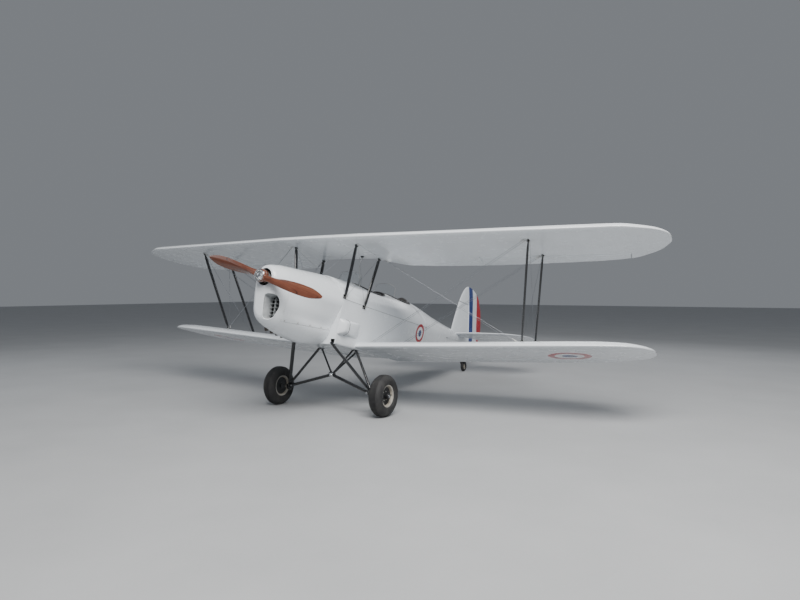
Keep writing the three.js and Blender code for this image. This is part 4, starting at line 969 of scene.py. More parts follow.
def build_cowls():
    ys = np.concatenate([[301.2, 304], np.linspace(318, 1148, 40), [1160, 1164.5]])

    def side(y, n=46):
        h = cowl_half(float(y), 90)
        # a flush joint with small rounded edges
        z = h[:, 1]
        s = np.arange(len(h), dtype=float)
        s1 = np.interp(-(cowl_seam(y) + 1.4), -z, s)
        t = np.linspace(0, 1, n)
        t = np.concatenate([[0, 0.004], t[1:-1], [0.996, 1]])
        x0 = np.interp(1.2, h[:8, 0], s[:8])
        q = x0 + (s1 - x0) * t
        return np.stack([np.interp(q, s, h[:, 0]), np.full(len(q), y), np.interp(q, s, h[:, 1])], -1)

    def bottom(y, n=26):
        h = cowl_half(float(y), 90)
        z = h[:, 1]
        s = np.arange(len(h), dtype=float)
        s1 = np.interp(-(cowl_seam(y) - 1.4), -z, s)
        q = s1 + (len(h) - 1 - s1) * np.concatenate([[0, 0.008], np.linspace(0, 1, n)[1:]])
        half = np.stack([np.interp(q, s, h[:, 0]), np.full(len(q), y), np.interp(q, s, h[:, 1])], -1)
        other = half[:-1][::-1].copy()
        other[:, 0] *= -1
        return np.vstack([half, other])

    g = np.array([side(y) for y in ys])
    port = shell(g, 3.0)
    piece("cowl_panel_port", port, "cowl", replaces="engine_cowl_port")
    piece("cowl_panel_starboard", flip_x(port), "cowl", replaces="engine_cowl_starboard")
    b = np.array([bottom(y) for y in ys])
    pan = piece("cowl_panel_bottom", shell(b, 3.0), "cowl", replaces="engine_cowl_bottom")
    boolean(pan, block(-126, -64, 312, 698, -900, -420, 16, 4))
    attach(pan, "airframe")

    # hinge down the top centre line, latches along the lower seam and screws
    d = Bag()
    top = [[0, y, float(COWL(y)[0]) + 0.6] for y in np.linspace(306, 1160, 60)]
    d.add(tube(top, 3.0, 10), 0)
    for s in (1, -1):
        for y in (348, 560, 772, 984, 1120):
            h = cowl_half(float(y), 90)
            zs = cowl_seam(y) + 16
            x = np.interp(-zs, -h[:, 1], h[:, 0])
            nrm = np.array([s * 0.86, 0, -0.5])
            o = np.array([s * x, y, zs])
            d.add(lathe([(0.01, 0), (10.5, 0), (10.5, 1.6), (9.0, 2.6), (0.01, 2.8)], o, nrm, 20), 1)
            d.add(lathe([(0.01, 2), (3.4, 2), (3.4, 4.2), (0.01, 4.6)], o, nrm, 12), 1)
        # small screws round the joint with the nose bowl
        for k, q in enumerate(np.linspace(0.10, 0.90, 9)):
            h = cowl_half(290.0, 90)
            j = int(q * 89)
            dx, dz = h[min(89, j + 1)] - h[j - 1]
            nrm = np.array([-dz, 0, dx]); nrm = nrm / np.linalg.norm(nrm)
            if nrm[0] < 0:
                nrm = -nrm
            nrm = nrm * np.array([s, 1, 1])
            d.add(lathe([(0.01, 0), (3.6, 0), (3.2, 1.1), (0.01, 1.5)], [s * h[j, 0], 290, h[j, 1]], nrm, 12), 1)
    piece("cowl_fittings", d, ["cowl", "plate"])

    # exhaust stubs
    e = Bag()
    for y, z in ((330, -598), (428, -614), (526, -628), (624, -642)):
        k = (z + 3 + 505) / 138.0
        path = spline([[-95, y - 6, -470], [-95, y + 4, -505 + 12 * k], [-95, y + 18, -505 + 72 * k], [-95, y + 43, z - 3]], 24)
        e.add(tube(path, 21.6, 24), 0)
        end = path[-1]; dr = path[-1] - path[-3]; dr /= np.linalg.norm(dr)
        e.add(lathe([(16, -26), (21.7, -26), (23.2, -24), (23.2, -2), (21.5, 0.6), (18.2, 0.6), (17, -20), (16, -26)], end, dr, 24), 0)
        e.add(lathe([(0.01, 0.2), (18, 0.2), (18, 0.9), (0.01, 0.9)], end - dr * 0.2, dr, 24), 1)
        e.add(lathe([(20, 0), (33, 0), (33, 5), (20, 5), (20, 0)], path[4], path[5] - path[4], 24), 0)
    piece("exhaust_stubs", e, ["exhaust", "iron"])


def build_scoop():
    """A blister in two steps behind the cowl: a fat front half that opens aft, and a flat tail."""
    zs = np.linspace(-505, -300, 40)

    def bulge(y0, y1, fat, y_peak, n=36, open_aft=False, front=0.32):
        g = []
        for t in np.linspace(0, 1, n):
            y = y0 + (y1 - y0) * t
            if open_aft:
                e = min(1.0, (t / front)) if t < front else 1.0
                k = math.sin(e * math.pi / 2) ** 0.75
            else:
                k = math.sin(min(1, t / 0.18) * math.pi / 2) ** 0.7 if t < 0.18 else max(0.0, math.cos((t - 0.18) / 0.82 * math.pi / 2)) ** 0.55
            row = []
            for z in zs:
                u = (z + 402.5) / 102.5
                s = max(0.0, 1 - abs(u) ** 3.2) ** 0.55
                row.append([side_x(y, z) - 3 + (fat * k * s), y, z])
            g.append(row)
        return np.array(g)
    front = bulge(1180, 1316, 86, 0, 34, True, 0.62)
    b = Bag()
    b.add(shell(front, 2.6, axis=(300, None, -402)), 0)
    tail = bulge(1310, 1650, 50, 0, 40)
    b.add(shell(tail, 2.6, axis=(300, None, -402)), 0)
    sc = piece("scoop_blister", b, ["cowl"], replaces="side_air_scoop")
    d = Bag()
    # throat in the step and its lip, both painted black as the shade inside the opening, and a flange with rivets
    lip = [[side_x(1316, z) - 3 + 86 * max(0.0, 1 - abs((z + 402.5) / 102.5) ** 3.2) ** 0.55, 1316, z] for z in np.linspace(-504.5, -300.5, 46)]
    d.add(tube(lip, 3.4, 10), 1)
    throat = []
    for k in (0.0, 1.0):
        throat.append([[side_x(1300, z) - 3 + (80 * k) * max(0.0, 1 - abs((z + 402.5) / 102.5) ** 3.2) ** 0.55, 1300, z] for z in np.linspace(-503, -302, 40)])
    d.add(shell(np.array(throat), 1.0, axis=(400, 1300, -402)), 1)
    for y in np.linspace(1192, 1638, 14):
        for z in (-298, -508):
            d.add(lathe([(0.01, -0.5), (3.2, -0.5), (2.9, 0.9), (0.01, 1.4)], [side_x(y, z) + 0.2, y, z + (4 if z > -400 else -4)], (1, 0, 0.06), 10), 2)
    piece("scoop_details", d, ["cowl", "black_satin", "plate"])


# --------------------------------------------------------------- propeller
def build_propeller():
    rows = [[40, 96, 72, 50], [110, 94, 66, 46], [220, 104, 44, 37], [380, 128, 30, 28], [560, 140, 21, 21],
            [740, 128, 15, 17], [870, 80, 11, 14], [925, 44, 9, 13], [948, 18, 7, 13]]
    tip = 949.0
    T = Table(rows, key=lambda r: -np.sqrt(np.maximum(0, tip - r)))
    sec = spline([[1, 0.12], [0.72, 0.62], [0.3, 0.98], [-0.2, 0.9], [-0.65, 0.5], [-1, 0.1], [-0.65, 0.0], [0, -0.02], [0.7, 0.0]], 44, True)
    r0 = np.linspace(math.sqrt(tip - 40), math.sqrt(tip - 945), 64)
    rs = tip - r0 ** 2
    b = Bag()
    for ang in (PROP_ANGLE, PROP_ANGLE + math.pi):
        out = np.array([math.cos(ang), 0, math.sin(ang)])
        run = np.array([math.sin(ang), 0, -math.cos(ang)])
        fwd = np.array([0, -1.0, 0])
        rings = []
        for r in rs:
            c, t, pitch = [float(v) for v in T(r)]
            q = math.radians(pitch)
            chord = run * math.cos(q) + fwd * math.sin(q)
            face = fwd * math.cos(q) - run * math.sin(q)
            rings.append([np.array([0, 56.0, 0]) + out * r + chord * (u * c / 2) + face * ((w - 0.45) * t) for u, w in sec])
        # close the tip
        last = np.array(rings[-1]); c0 = last.mean(0)
        rings.append(list(c0 + (last - c0) * 0.6 + out * 2.2))
        rings.append(list(c0 + (last - c0) * 0.12 + out * 3.0))
        b.add(lofted(rings), 0)
    b.add(lathe([(31, 14.3), (66, 14.3), (74, 17), (78, 26), (78.5, 52), (78, 86), (72, 94), (66, 95.8), (31, 95.8), (31, 14.3)], (0, 0, 0), (0, 1, 0), 72), 0)
    prop = piece("propeller_laminated", b, ["wood"], body="propeller", replaces="propeller", sharp=50)
    h = Bag()
    h.add(lathe([(0.01, 5), (14, 5), (16, 6), (20, 4), (58, 2.6), (63, 1.2), (68, 2.2), (70.5, 5.5), (70.5, 12.6), (69, 14.0), (0.01, 14.0)], (0, 0, 0), (0, 1, 0), 72), 0)
    # centre nut with its flats and a split pin
    h.add(bolt([0, 5, 0], (0, -1, 0), 24, 7.5, False, 0.26), 0)
    h.add(lathe([(0.01, -1.6), (9, -1.6), (11, 0.5), (11, 6), (0.01, 6)], (0, 0, 0), (0, 1, 0), 28), 1)
    for k in range(8):
        t = k * math.pi / 4 + 0.39
        h.add(bolt([49 * math.cos(t), 3.4, 49 * math.sin(t)], (0, -1, 0), 7.2, 4.8, True, t), 1)
    # locking wire from bolt to bolt
    a = np.linspace(0, 2 * math.pi, 65)[:-1]
    wob = 49 + 5.5 * np.cos(8 * (a - 0.39))
    h.add(tube(np.stack([wob * np.cos(a), np.full(64, 0.4), wob * np.sin(a)], -1), 0.7, 6, True), 1)
    h.add(lathe([(30.3, 96), (74, 96), (75, 98), (75, 104), (60, 107), (44, 108), (37, 114), (35.2, 180), (35.2, 318), (34, 322.5), (0.01, 322.5), (0.01, 13.8), (30.3, 13.8), (30.3, 96)], (0, 0, 0), (0, 1, 0), 48), 1)
    piece("propeller_hub_plate", h, ["steel", "plate"], body="propeller", replaces="propeller_hub")


# ----------------------------------------------------------------- fuselage
def build_fuselage():
    ys = np.concatenate([[1173.5, 1174.6, 1178], np.linspace(1200, 3600, 62), [3612, 3616.5, 3619.5]])
    rings = []
    for y in ys:
        ins = 5.0 if y < 1174 else (1.6 if y < 1175 else 0.0)
        ins = 2.2 if y > 3618 else ins
        yy = min(max(y, 1178), 3625)
        half = lower_half(yy, ins, top=1.2)
        o = np.stack([half[:, 0], np.full(len(half), y), half[:, 1]], -1)
        m = o[:-1][::-1].copy(); m[:, 0] *= -1
        rings.append(np.vstack([o, m]))
    tub = piece("fuselage_sides", shell(np.array(rings), 12.0), ["ply"], replaces="fuselage_tub")
    # interior: floor boards, bulkhead, side rails and frames
    d = Bag()
    for i in range(-3, 3):
        x0 = i * 106 + 3
        d.add(block(x0, x0 + 100, 1254, 3486, -544, -533.2, 1.6), 0)
    bh = [full_ring(np.vstack([[0, -62], [float(FUS(yy)[1]) - 18, -62], lower_half(3600, 16, top=24)[1:]]), yy) for yy in (3590, 3602)]
    d.add(lofted(bh), 1)
    for y in (1500, 1830, 2160, 2490, 2790, 3090, 3390):
        for s in (1, -1):
            za, zb_ = -530, float(FUS(y)[3]) - 12
            d.add(rod([s * (side_x(y, za) - 21), y, za], [s * (side_x(y, zb_) - 21), y, zb_], 8, 14), 1)
    for s in (1, -1):
        d.add(tube([[s * (side_x(y, -60) - 22), y, float(FUS(y)[3]) - 14] for y in np.linspace(1200, 3580, 30)], 9, 14), 1)
        d.add(tube([[s * (side_x(y, -300) - 20), y, -300] for y in np.linspace(1200, 3580, 30)], 7, 12), 1)
    piece("cockpit_structure", d, ["wood_floor", "grey_paint"])

    # top decking with its two openings
    a = np.concatenate([[0.004, 0.012], np.linspace(0.04, math.pi - 0.04, 88), [math.pi - 0.012, math.pi - 0.004]])
    yd = np.concatenate([[1173.5, 1178], np.linspace(1196, 3600, 84), [3619.6]])
    g = []
    for y in yd:
        x, z = arch(max(y, 1178), a, -1.2 if y < 1175 else 0.0)
        z = z + 1.0 * (np.abs(a - math.pi / 2) > 1.5)
        g.append(np.stack([x, np.full(len(a), y), z], -1))
    deck = piece("decking_sheet", shell(np.array(g), 6.0), ["ply"], replaces="top_decking")
    for c in COCKPITS.values():
        o = opening(c, 96)
        boolean(deck, lofted([np.column_stack([o, np.full(len(o), 40.0)]), np.column_stack([o, np.full(len(o), 520.0)])]))
    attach(deck, "airframe")

    # rear fuselage
    n_arch = 40
    ts = np.concatenate([[0, 0.002], np.linspace(0.012, 1, 96)])
    lines = []
    param = [("arch", t) for t in np.linspace(math.pi / 2, 0.0, n_arch)] + [("low", j) for j in range(1, 9 + 5 + 4)]

    def half_at(y):
        pts = []
        lo = lower_half(y)
        for kind, v in param:
            if kind == "arch":
                x, z = arch(y, v)
                pts.append((float(x), float(z)))
            else:
                pts.append(tuple(lo[v]))
        return np.array(pts)
    sample_y = np.linspace(3621, 6240, 160)
    cache = np.array([half_at(min(y, 6229.9)) for y in sample_y])   # y, point, (x, z)
    hingey = lambda z: 6190 - 0.155 * (z - 275)
    npt = cache.shape[1]
    rings = np.zeros((len(ts), npt, 3))
    stringers = [math.radians(v) for v in (22, 44, 66, 90)]
    for j in range(npt):
        zx = lambda y: (np.interp(y, sample_y, cache[:, j, 0]), np.interp(y, sample_y, cache[:, j, 1]))
        ye = 6160.0
        for _ in range(12):
            ye = hingey(zx(ye)[1]) - 30
        for i, t in enumerate(ts):
            y = 3621 + (ye - 3621) * t
            x, z = zx(y)
            rings[i, j] = (x, y, z)
    # fabric pulls in a little between the stringers and the frames
    ang = np.array([v if k == "arch" else None for k, v in param], dtype=object)
    for j in range(npt):
        if ang[j] is not None:
            k = (math.degrees(ang[j]) % 22) / 22
            sag = 2.4 * (4 * k * (1 - k))
        else:
            zz = rings[30, j, 2]
            k = j - n_arch
            sag = 2.0 * (4 * (k / 9) * (1 - k / 9)) if k < 9 else 0.0
        for i, t in enumerate(ts):
            fade = min(1, t / 0.05) * min(1, (1 - t) / 0.25)
            c = rings[i, j]
            d_in = np.array([c[0], 0, c[2] + 100]); L = np.linalg.norm(d_in)
            rings[i, j] = c - d_in / max(L, 1) * sag * fade
    full = []
    for i in range(len(ts)):
        h = rings[i]
        l = h[1:-1][::-1].copy(); l[:, 0] *= -1
        full.append(np.vstack([h, l]))
    rear = piece("rear_fuselage_fabric", lofted(full), ["fuselage_fabric"], replaces="rear_fuselage")
    # a slot for the elevator's tube, its walls painted black as the shade inside it
    boolean(rear, rod([-300, 5868, 120], [300, 5868, 120], 24, 40), m="black_satin")
    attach(rear, "airframe")

    # padded coaming rolls round both openings
    b = Bag()
    for key, c in COCKPITS.items():
        o = opening(c, 180)
        s = np.arange(180)
        z = deck_z(o[:, 0], o[:, 1])
        path = np.column_stack([o, z + 1.5])
        r = 12.5 + 0.5 * np.sin(s * 0.9) * np.sin(s * 0.31)
        if key == "rear":
            r = r - 1.5 * (o[:, 1] > 3385)
        b.add(tube(path, r, 18, True), 0)
    roll = piece("cockpit_coaming", b, ["leather"])
    # lacing stitches under the roll's outer edge
    st = Bag()
    for key, c in COCKPITS.items():
        hl, hw = c[1] + 17, c[2] + 17
        o = opening((c[0], hl, hw), 96)
        for i in range(96):
            x, y = o[i]
            x2, y2 = o[(i + 1) % 96]
            p = np.array([x, y, float(deck_z(x, y)) + 0.4]); q = np.array([x2, y2, float(deck_z(x2, y2)) + 0.4])
            m = p + (q - p) * 0.62
            st.add(tube(np.array([p, (p + m) / 2 + [0, 0, 1.2], m]), 1.1, 6), 0)
    piece("coaming_lacing", st, ["webbing"])

    # a raised strip along each upper longeron, hides the joint between side and decking
    s = Bag()
    for sg in (1, -1):
        path = np.array([[sg * (float(FUS(y)[1]) + 0.4), y, float(FUS(y)[3])] for y in np.linspace(1180, 3616, 60)])
        s.add(tube(path, 2.6, 8, False, 1.0), 0)
        s.add(tube(path + [sg * 0.6, 0, -3.6], 1.7, 8), 1)
    # cover band over the joint with the rear fuselage
    band = []
    for o, y in ((0.2, 3604), (1.6, 3606), (1.6, 3634), (0.2, 3636)):
        h = []
        for t in np.linspace(math.pi / 2, 0, 30):
            x, z = arch(y, t, o)
            h.append((float(x), float(z)))
        lo = lower_half(y, -o)[1:]
        h += [tuple(v) for v in lo]
        band.append(full_ring(np.array(h), y))
    s.add(shell(np.array(band), 1.0, closed_v=True), 0)
    piece("fuselage_strips", s, ["ply", "black_satin"])


COCKPITS = {"front": (2190, 365, 262), "rear": (3060, 350, 215)}


def opening(c, n):
    cy, hl, hw = c
    a = np.linspace(0, 2 * math.pi, 720, endpoint=False)
    co, si = np.cos(a), np.sin(a)
    p = np.stack([hw * np.sign(co) * np.abs(co) ** 0.7, cy + hl * np.sign(si) * np.abs(si) ** 0.7], -1)
    return resample(np.vstack([p, p[:1]]), n, True)


# -------------------------------------------------------------------- wings
AEROFOIL = np.array([[1.0, 0.004], [0.80, 0.031], [0.62, 0.058], [0.45, 0.078], [0.28, 0.085], [0.14, 0.075], [0.05, 0.050], [0.012, 0.026], [0.0, 0.004],
                     [0.01, -0.006], [0.04, -0.012], [0.15, -0.014], [0.45, -0.012], [0.75, -0.007], [1.0, -0.003]])


def _aero():
    sc = np.array([1.0, 1.0])
    up = spline(AEROFOIL * sc, 400)
    # denser samples near the nose
    s = np.concatenate([[0], np.cumsum(np.linalg.norm(np.diff(up, axis=0), axis=1))])
    nose = int(np.argmin(up[:, 0]))
    sn = s[nose]
    a = sn * (1 - np.linspace(1, 0, 42) ** 1.7)
    b = sn + (s[-1] - sn) * np.linspace(0, 1, 34)[1:] ** 1.6
    q = np.concatenate([a, b])
    return np.stack([np.interp(q, s, up[:, 0]), np.interp(q, s, up[:, 1])], -1), 41


AF, AF_NOSE = _aero()
_up = AF[:AF_NOSE + 1][::-1]
_lo = AF[AF_NOSE:]
UPPER = dict(rootX=522, zLE=700, dihedral=0.036, slope=-0.055, lead=lambda x: 910 + 0.15 * np.maximum(0, x - 520), tip=4190.5, q0=3000.0,
             rows=[[0, 905, 1765, .86], [380, 907, 1790, .86], [520, 910, 1905, .90], [800, 952, 2172, 1], [3000, 1282, 2500, 1], [3400, 1342, 2520, .97],
                   [3720, 1392, 2486, .90], [3900, 1475, 2375, .76], [4050, 1562, 2240, .55], [4140, 1660, 2085, .34], [4187, 1800, 1960, .16], [4190.5, 1878, 1882, .06]])
LOWER = dict(rootX=338, zLE=-613, dihedral=0.066, slope=-0.050, lead=lambda x: 1623 + 0.1296 * np.maximum(0, x - 330), tip=3989.0, q0=3000.0,
             rows=[[330, 1623, 2843, 1], [3000, 1969, 3189, 1], [3300, 2010, 3205, .97], [3500, 2055, 3170, .91], [3700, 2110, 3075, .76],
                   [3850, 2205, 3005, .55], [3940, 2330, 2850, .36], [3985, 2490, 2700, .17], [3989, 2592, 2596, .06]])
for W in (UPPER, LOWER):
    W["inner"] = Table([r for r in W["rows"] if r[0] <= W["q0"] + 450])
    W["outer"] = Table([r for r in W["rows"] if r[0] >= W["q0"] - 100], key=lambda v, t=W["tip"]: -np.sqrt(np.maximum(0, t - v)))


def plan_at(W, x):
    x = np.asarray(x, float)
    q = W["q0"]
    i = W["inner"](np.minimum(x, q + 400)); o = W["outer"](np.maximum(x, q))
    w = np.clip((x - q - 40) / 300, 0, 1); w = w * w * (3 - 2 * w)
    return [a * (1 - w) + b * w for a, b in zip(i, o)]


def chord_z(W, x, y):
    return W["zLE"] + W["dihedral"] * (np.maximum(x, W["rootX"]) - W["rootX"]) + W["slope"] * (y - W["lead"](x))


def skin_h(u, k, upper):
    t = _up if upper else _lo
    h = np.interp(u, t[:, 0], t[:, 1])
    return h * 1200 * k * np.where(h < 0, np.minimum(1, k + 0.1), 1)


def wing_z(W, x, y, upper):
    le, te, k = plan_at(W, x)
    return chord_z(W, x, y) + skin_h((y - le) / (te - le), k, upper)


def rib_sag(W, x, u, upper):
    start = W["rootX"]
    f = (np.asarray(x, float) - start) / (RIB * 1000)
    f = f - np.floor(f)
    s = 4 * f * (1 - f)
    if upper:
        w = np.clip((u - 0.10) / 0.10, 0, 1) * (1 - 0.45 * np.clip((u - 0.7) / 0.3, 0, 1))
        return 3.4 * s * w
    w = np.clip((u - 0.04) / 0.10, 0, 1) * (1 - 0.45 * np.clip((u - 0.7) / 0.3, 0, 1))
    return -2.6 * s * w


def wing_stations(W, x0):
    pitch, tip, xe = RIB * 1000, W["tip"], W["q0"] + 300
    st = [x0]
    st += list(np.linspace(x0 + pitch / 8, xe, int((xe - x0) / (pitch / 8))))
    q = np.linspace(math.sqrt(tip - xe - 30), 0.0, 34)
    st += [tip - v * v for v in q]
    return np.array(st)


def wing_mesh(W, xs, sag=True):
    rings = []
    for x in xs:
        le, te, k = [float(v) for v in plan_at(W, x)]
        u, h = AF[:, 0], AF[:, 1]
        y = le + u * (te - le)
        z = chord_z(W, x, y) + h * 1200 * k * np.where(h < 0, min(1, k + 0.1), 1)
        if sag:
            f = 1.0 if x < W["q0"] + 300 else max(0.0, min(1.0, (k - 0.3) / 0.5))
            idx = np.arange(len(u))
            z = z - np.where(idx < AF_NOSE, rib_sag(W, x, u, True), rib_sag(W, x, u, False)) * f
        rings.append(np.stack([np.full(len(u), float(x)), y, z], -1))
    return rings


AIL = {"upper": (UPPER, 1870, 3700, (1870, 2074.5, 711.37), (3700, 2349, 770.21)),
       "lower": (LOWER, 1500, 3490, (1500, 2736.63, -568.61), (3490, 2994.54, -442.20))}


def bay_cutter(key):
    W, x0, x1, p0, p1 = AIL[key]
    d = np.array(p1, float) - p0
    k = (d / np.linalg.norm(d))[1] / (d / np.linalg.norm(d))[0]
    reach, r = 420, 38

    def c(o, along, aft):
        return [o[0] + along - k * aft, o[1] + aft + k * along]
    q = [c(p0, -10, -r), c(p1, 10, -r), c(p1, 10, reach), c(p0, -10, reach)]
    return lofted([[v + [-1500.0] for v in q], [v + [1500.0] for v in q]])


def aileron_mesh(key):
    W, x0, x1, p0, p1 = AIL[key]
    p0, p1 = np.array(p0, float), np.array(p1, float)
    d = (p1 - p0) / np.linalg.norm(p1 - p0)
    pitch = RIB * 1000
    n = int((x1 - x0) / (pitch / 8))
    rings = []
    for s in np.linspace(0, 1, n):
        o = p0 + (p1 - p0) * s
        x = o[0]
        top = float(wing_z(W, x, o[1], True)); und = float(wing_z(W, x, o[1], False))
        r = (top - und) / 2 - 0.5
        le, te, kk = [float(v) for v in plan_at(W, x)]
        pts = []
        for a in np.radians(np.linspace(90, 270, 15)):
            pts.append((o[1] + r * math.cos(a), o[2] + r * math.sin(a), 0))
        nlow = 14
        for t in np.linspace(0, 1, nlow)[1:]:
            pts.append((o[1] + (te - 3 - o[1]) * t, None, -1))
        pts.append((te, None, 2))
        for t in np.linspace(1, 0, nlow)[:-1]:
            pts.append((o[1] + (te - 3 - o[1]) * t, None, 1))
        ring = []
        for y, z, kind in pts:
            zz = z if z is not None else o[2]
            for _ in range(2):
                xx = x - (d[1] * (y - o[1]) + d[2] * (zz - o[2])) / d[0]
                le2, te2, k2 = [float(v) for v in plan_at(W, xx)]
                if kind == 1:
                    u = (y - le2) / (te2 - le2)
                    zz = float(wing_z(W, xx, y, True)) - float(rib_sag(W, xx, u, True)) * min(1, (y - o[1]) / 60) - 0.5 * (1 - min(1, (y - o[1]) / 60))
                elif kind == -1:
                    u = (y - le2) / (te2 - le2)
                    zz = float(wing_z(W, xx, y, False)) - float(rib_sag(W, xx, u, False)) * min(1, (y - o[1]) / 60) + 0.5 * (1 - min(1, (y - o[1]) / 60))
                elif kind == 2:
                    zz = float(chord_z(W, xx, y)) + 0.5
            ring.append((xx, y, zz))
        rings.append(ring)
    return lofted(rings)


def build_wings():
    # centre section: sheet-metal tank between the roots
    xs = np.concatenate([[-520.6, -519.4], np.linspace(-505, 505, 44), [519.4, 520.6]])
    rings = []
    for x in xs:
        ins = 1.2 if abs(x) > 520 else 0.0
        le, te, k = [float(v) for v in plan_at(UPPER, abs(x))]
        u, h = AF[:, 0], AF[:, 1]
        y = le + u * (te - le)
        z = chord_z(UPPER, abs(x), y) + h * 1200 * k * np.where(h < 0, min(1, k + 0.1), 1)
        z = z - np.where(np.arange(len(u)) < AF_NOSE, ins, -ins)
        rings.append(np.stack([np.full(len(u), float(x)), y, z], -1))
    piece("centre_section_tank", lofted(rings), ["centre"], replaces="upper_centre_section")

    up = lofted(wing_mesh(UPPER, wing_stations(UPPER, 522)))
    for s, m in (("port", up), ("starboard", flip_x(up))):
        ob = piece(f"upper_wing_fabric_{s}", m, ["wing_upper"], replaces=f"upper_wing_{s}")
        cutm = bay_cutter("upper")
        boolean(ob, cutm if s == "port" else flip_x(cutm))
        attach(ob, "airframe")
    lo = lofted(wing_mesh(LOWER, wing_stations(LOWER, 340)))
    for s, m in (("port", lo), ("starboard", flip_x(lo))):
        ob = piece(f"lower_wing_fabric_{s}", m, ["wing_lower"], replaces=f"lower_wing_{s}")
        cutm = bay_cutter("lower")
        boolean(ob, cutm if s == "port" else flip_x(cutm))
        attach(ob, "airframe")
    for key in ("upper", "lower"):
        m = aileron_mesh(key)
        piece(f"{key}_aileron_fabric_port", m, [f"wing_{key}"], body=f"{key}_aileron_port", replaces=f"{key}_aileron_port")
        piece(f"{key}_aileron_fabric_starboard", flip_x(m), [f"wing_{key}"], body=f"{key}_aileron_starboard", replaces=f"{key}_aileron_starboard")


# ------------------------------------------------------------------- struts
STRUT = spline([[-0.5, 0], [-0.36, 0.40], [-0.1, 0.5], [0.2, 0.36], [0.5, 0.05], [0.5, -0.05], [0.2, -0.36], [-0.1, -0.5], [-0.36, -0.40]], 36, True)


def strut_mesh(a, b, chord, thick, taper0=0.55, taper1=0.55, run=90):
    a, b = np.asarray(a, float), np.asarray(b, float)
    L = np.linalg.norm(b - a)
    t = np.unique(np.concatenate([np.linspace(0, run, 10) / L, np.linspace(run / L, 1 - run / L, 8), 1 - np.linspace(0, run, 10) / L]))
    path = a + (b - a) * t[:, None]
    f0 = np.clip(t * L / run, 0, 1); f1 = np.clip((1 - t) * L / run, 0, 1)
    ease = lambda v: v * v * (3 - 2 * v)
    sc = (taper0 + (1 - taper0) * ease(f0)) * (taper1 + (1 - taper1) * ease(f1))
    scale = np.stack([sc * chord, (0.25 * sc + 0.75 * np.sqrt(sc)) * thick], -1)
    return section_sweep(path, STRUT, (0, 1, 0), scale)


def wire_mesh(a, b, r=3.4, n=8, ends=(70, 70), fork=True):
    """A streamlined wire with its round threaded ends, lock nuts and forks."""
    a, b = np.asarray(a, float), np.asarray(b, float)
    d = b - a; L = np.linalg.norm(d); d = d / L
    bag = Bag()
    t = [ends[0], ends[0] + 14, L - ends[1] - 14, L - ends[1]]
    sh = np.stack([np.cos(np.linspace(0, 2 * math.pi, 10, endpoint=False)), np.sin(np.linspace(0, 2 * math.pi, 10, endpoint=False))], -1)
    path = np.array([a + d * v for v in t])
    bag.add(section_sweep(path, sh, (0, 1, 0), np.array([[r * 0.9, r * 0.9], [r * 1.25, r * 0.5], [r * 1.25, r * 0.5], [r * 0.9, r * 0.9]])), 0)
    for o, s, e in ((a, 1, ends[0]), (b, -1, ends[1])):
        dd = d * s
        bag.add(rod(o + dd * 26, o + dd * (e + 1), r * 0.95, 10), 1)
        bag.add(bolt(o + dd * 44, dd, r * 2.1, 7, False), 1)
        if fork:
            bag.add(rod(o + dd * 12, o + dd * 40, r * 1.9, 12, r * 1.5, 1.2), 1)
            side = np.cross(dd, [0, 1, 0]); side /= np.linalg.norm(side)
            for q in (1, -1):
                c = o + side * q * r * 1.25
                bag.add(rod(c - dd * 10, c + dd * 16, r * 0.75, 8), 1)
            bag.add(rod(o - side * r * 2.6, o + side * r * 2.6, r * 0.95, 10), 1)
    return bag


def merge(bag, other, s=1):
    pts = np.vstack(other.p)
    f = other.f
    if s < 0:
        pts, f = flip_x((pts, f))
    bag.p.append(pts)
    bag.f += [tuple(v + bag.n for v in q) for q in f]
    bag.mi += other.mi
    bag.n += len(pts)


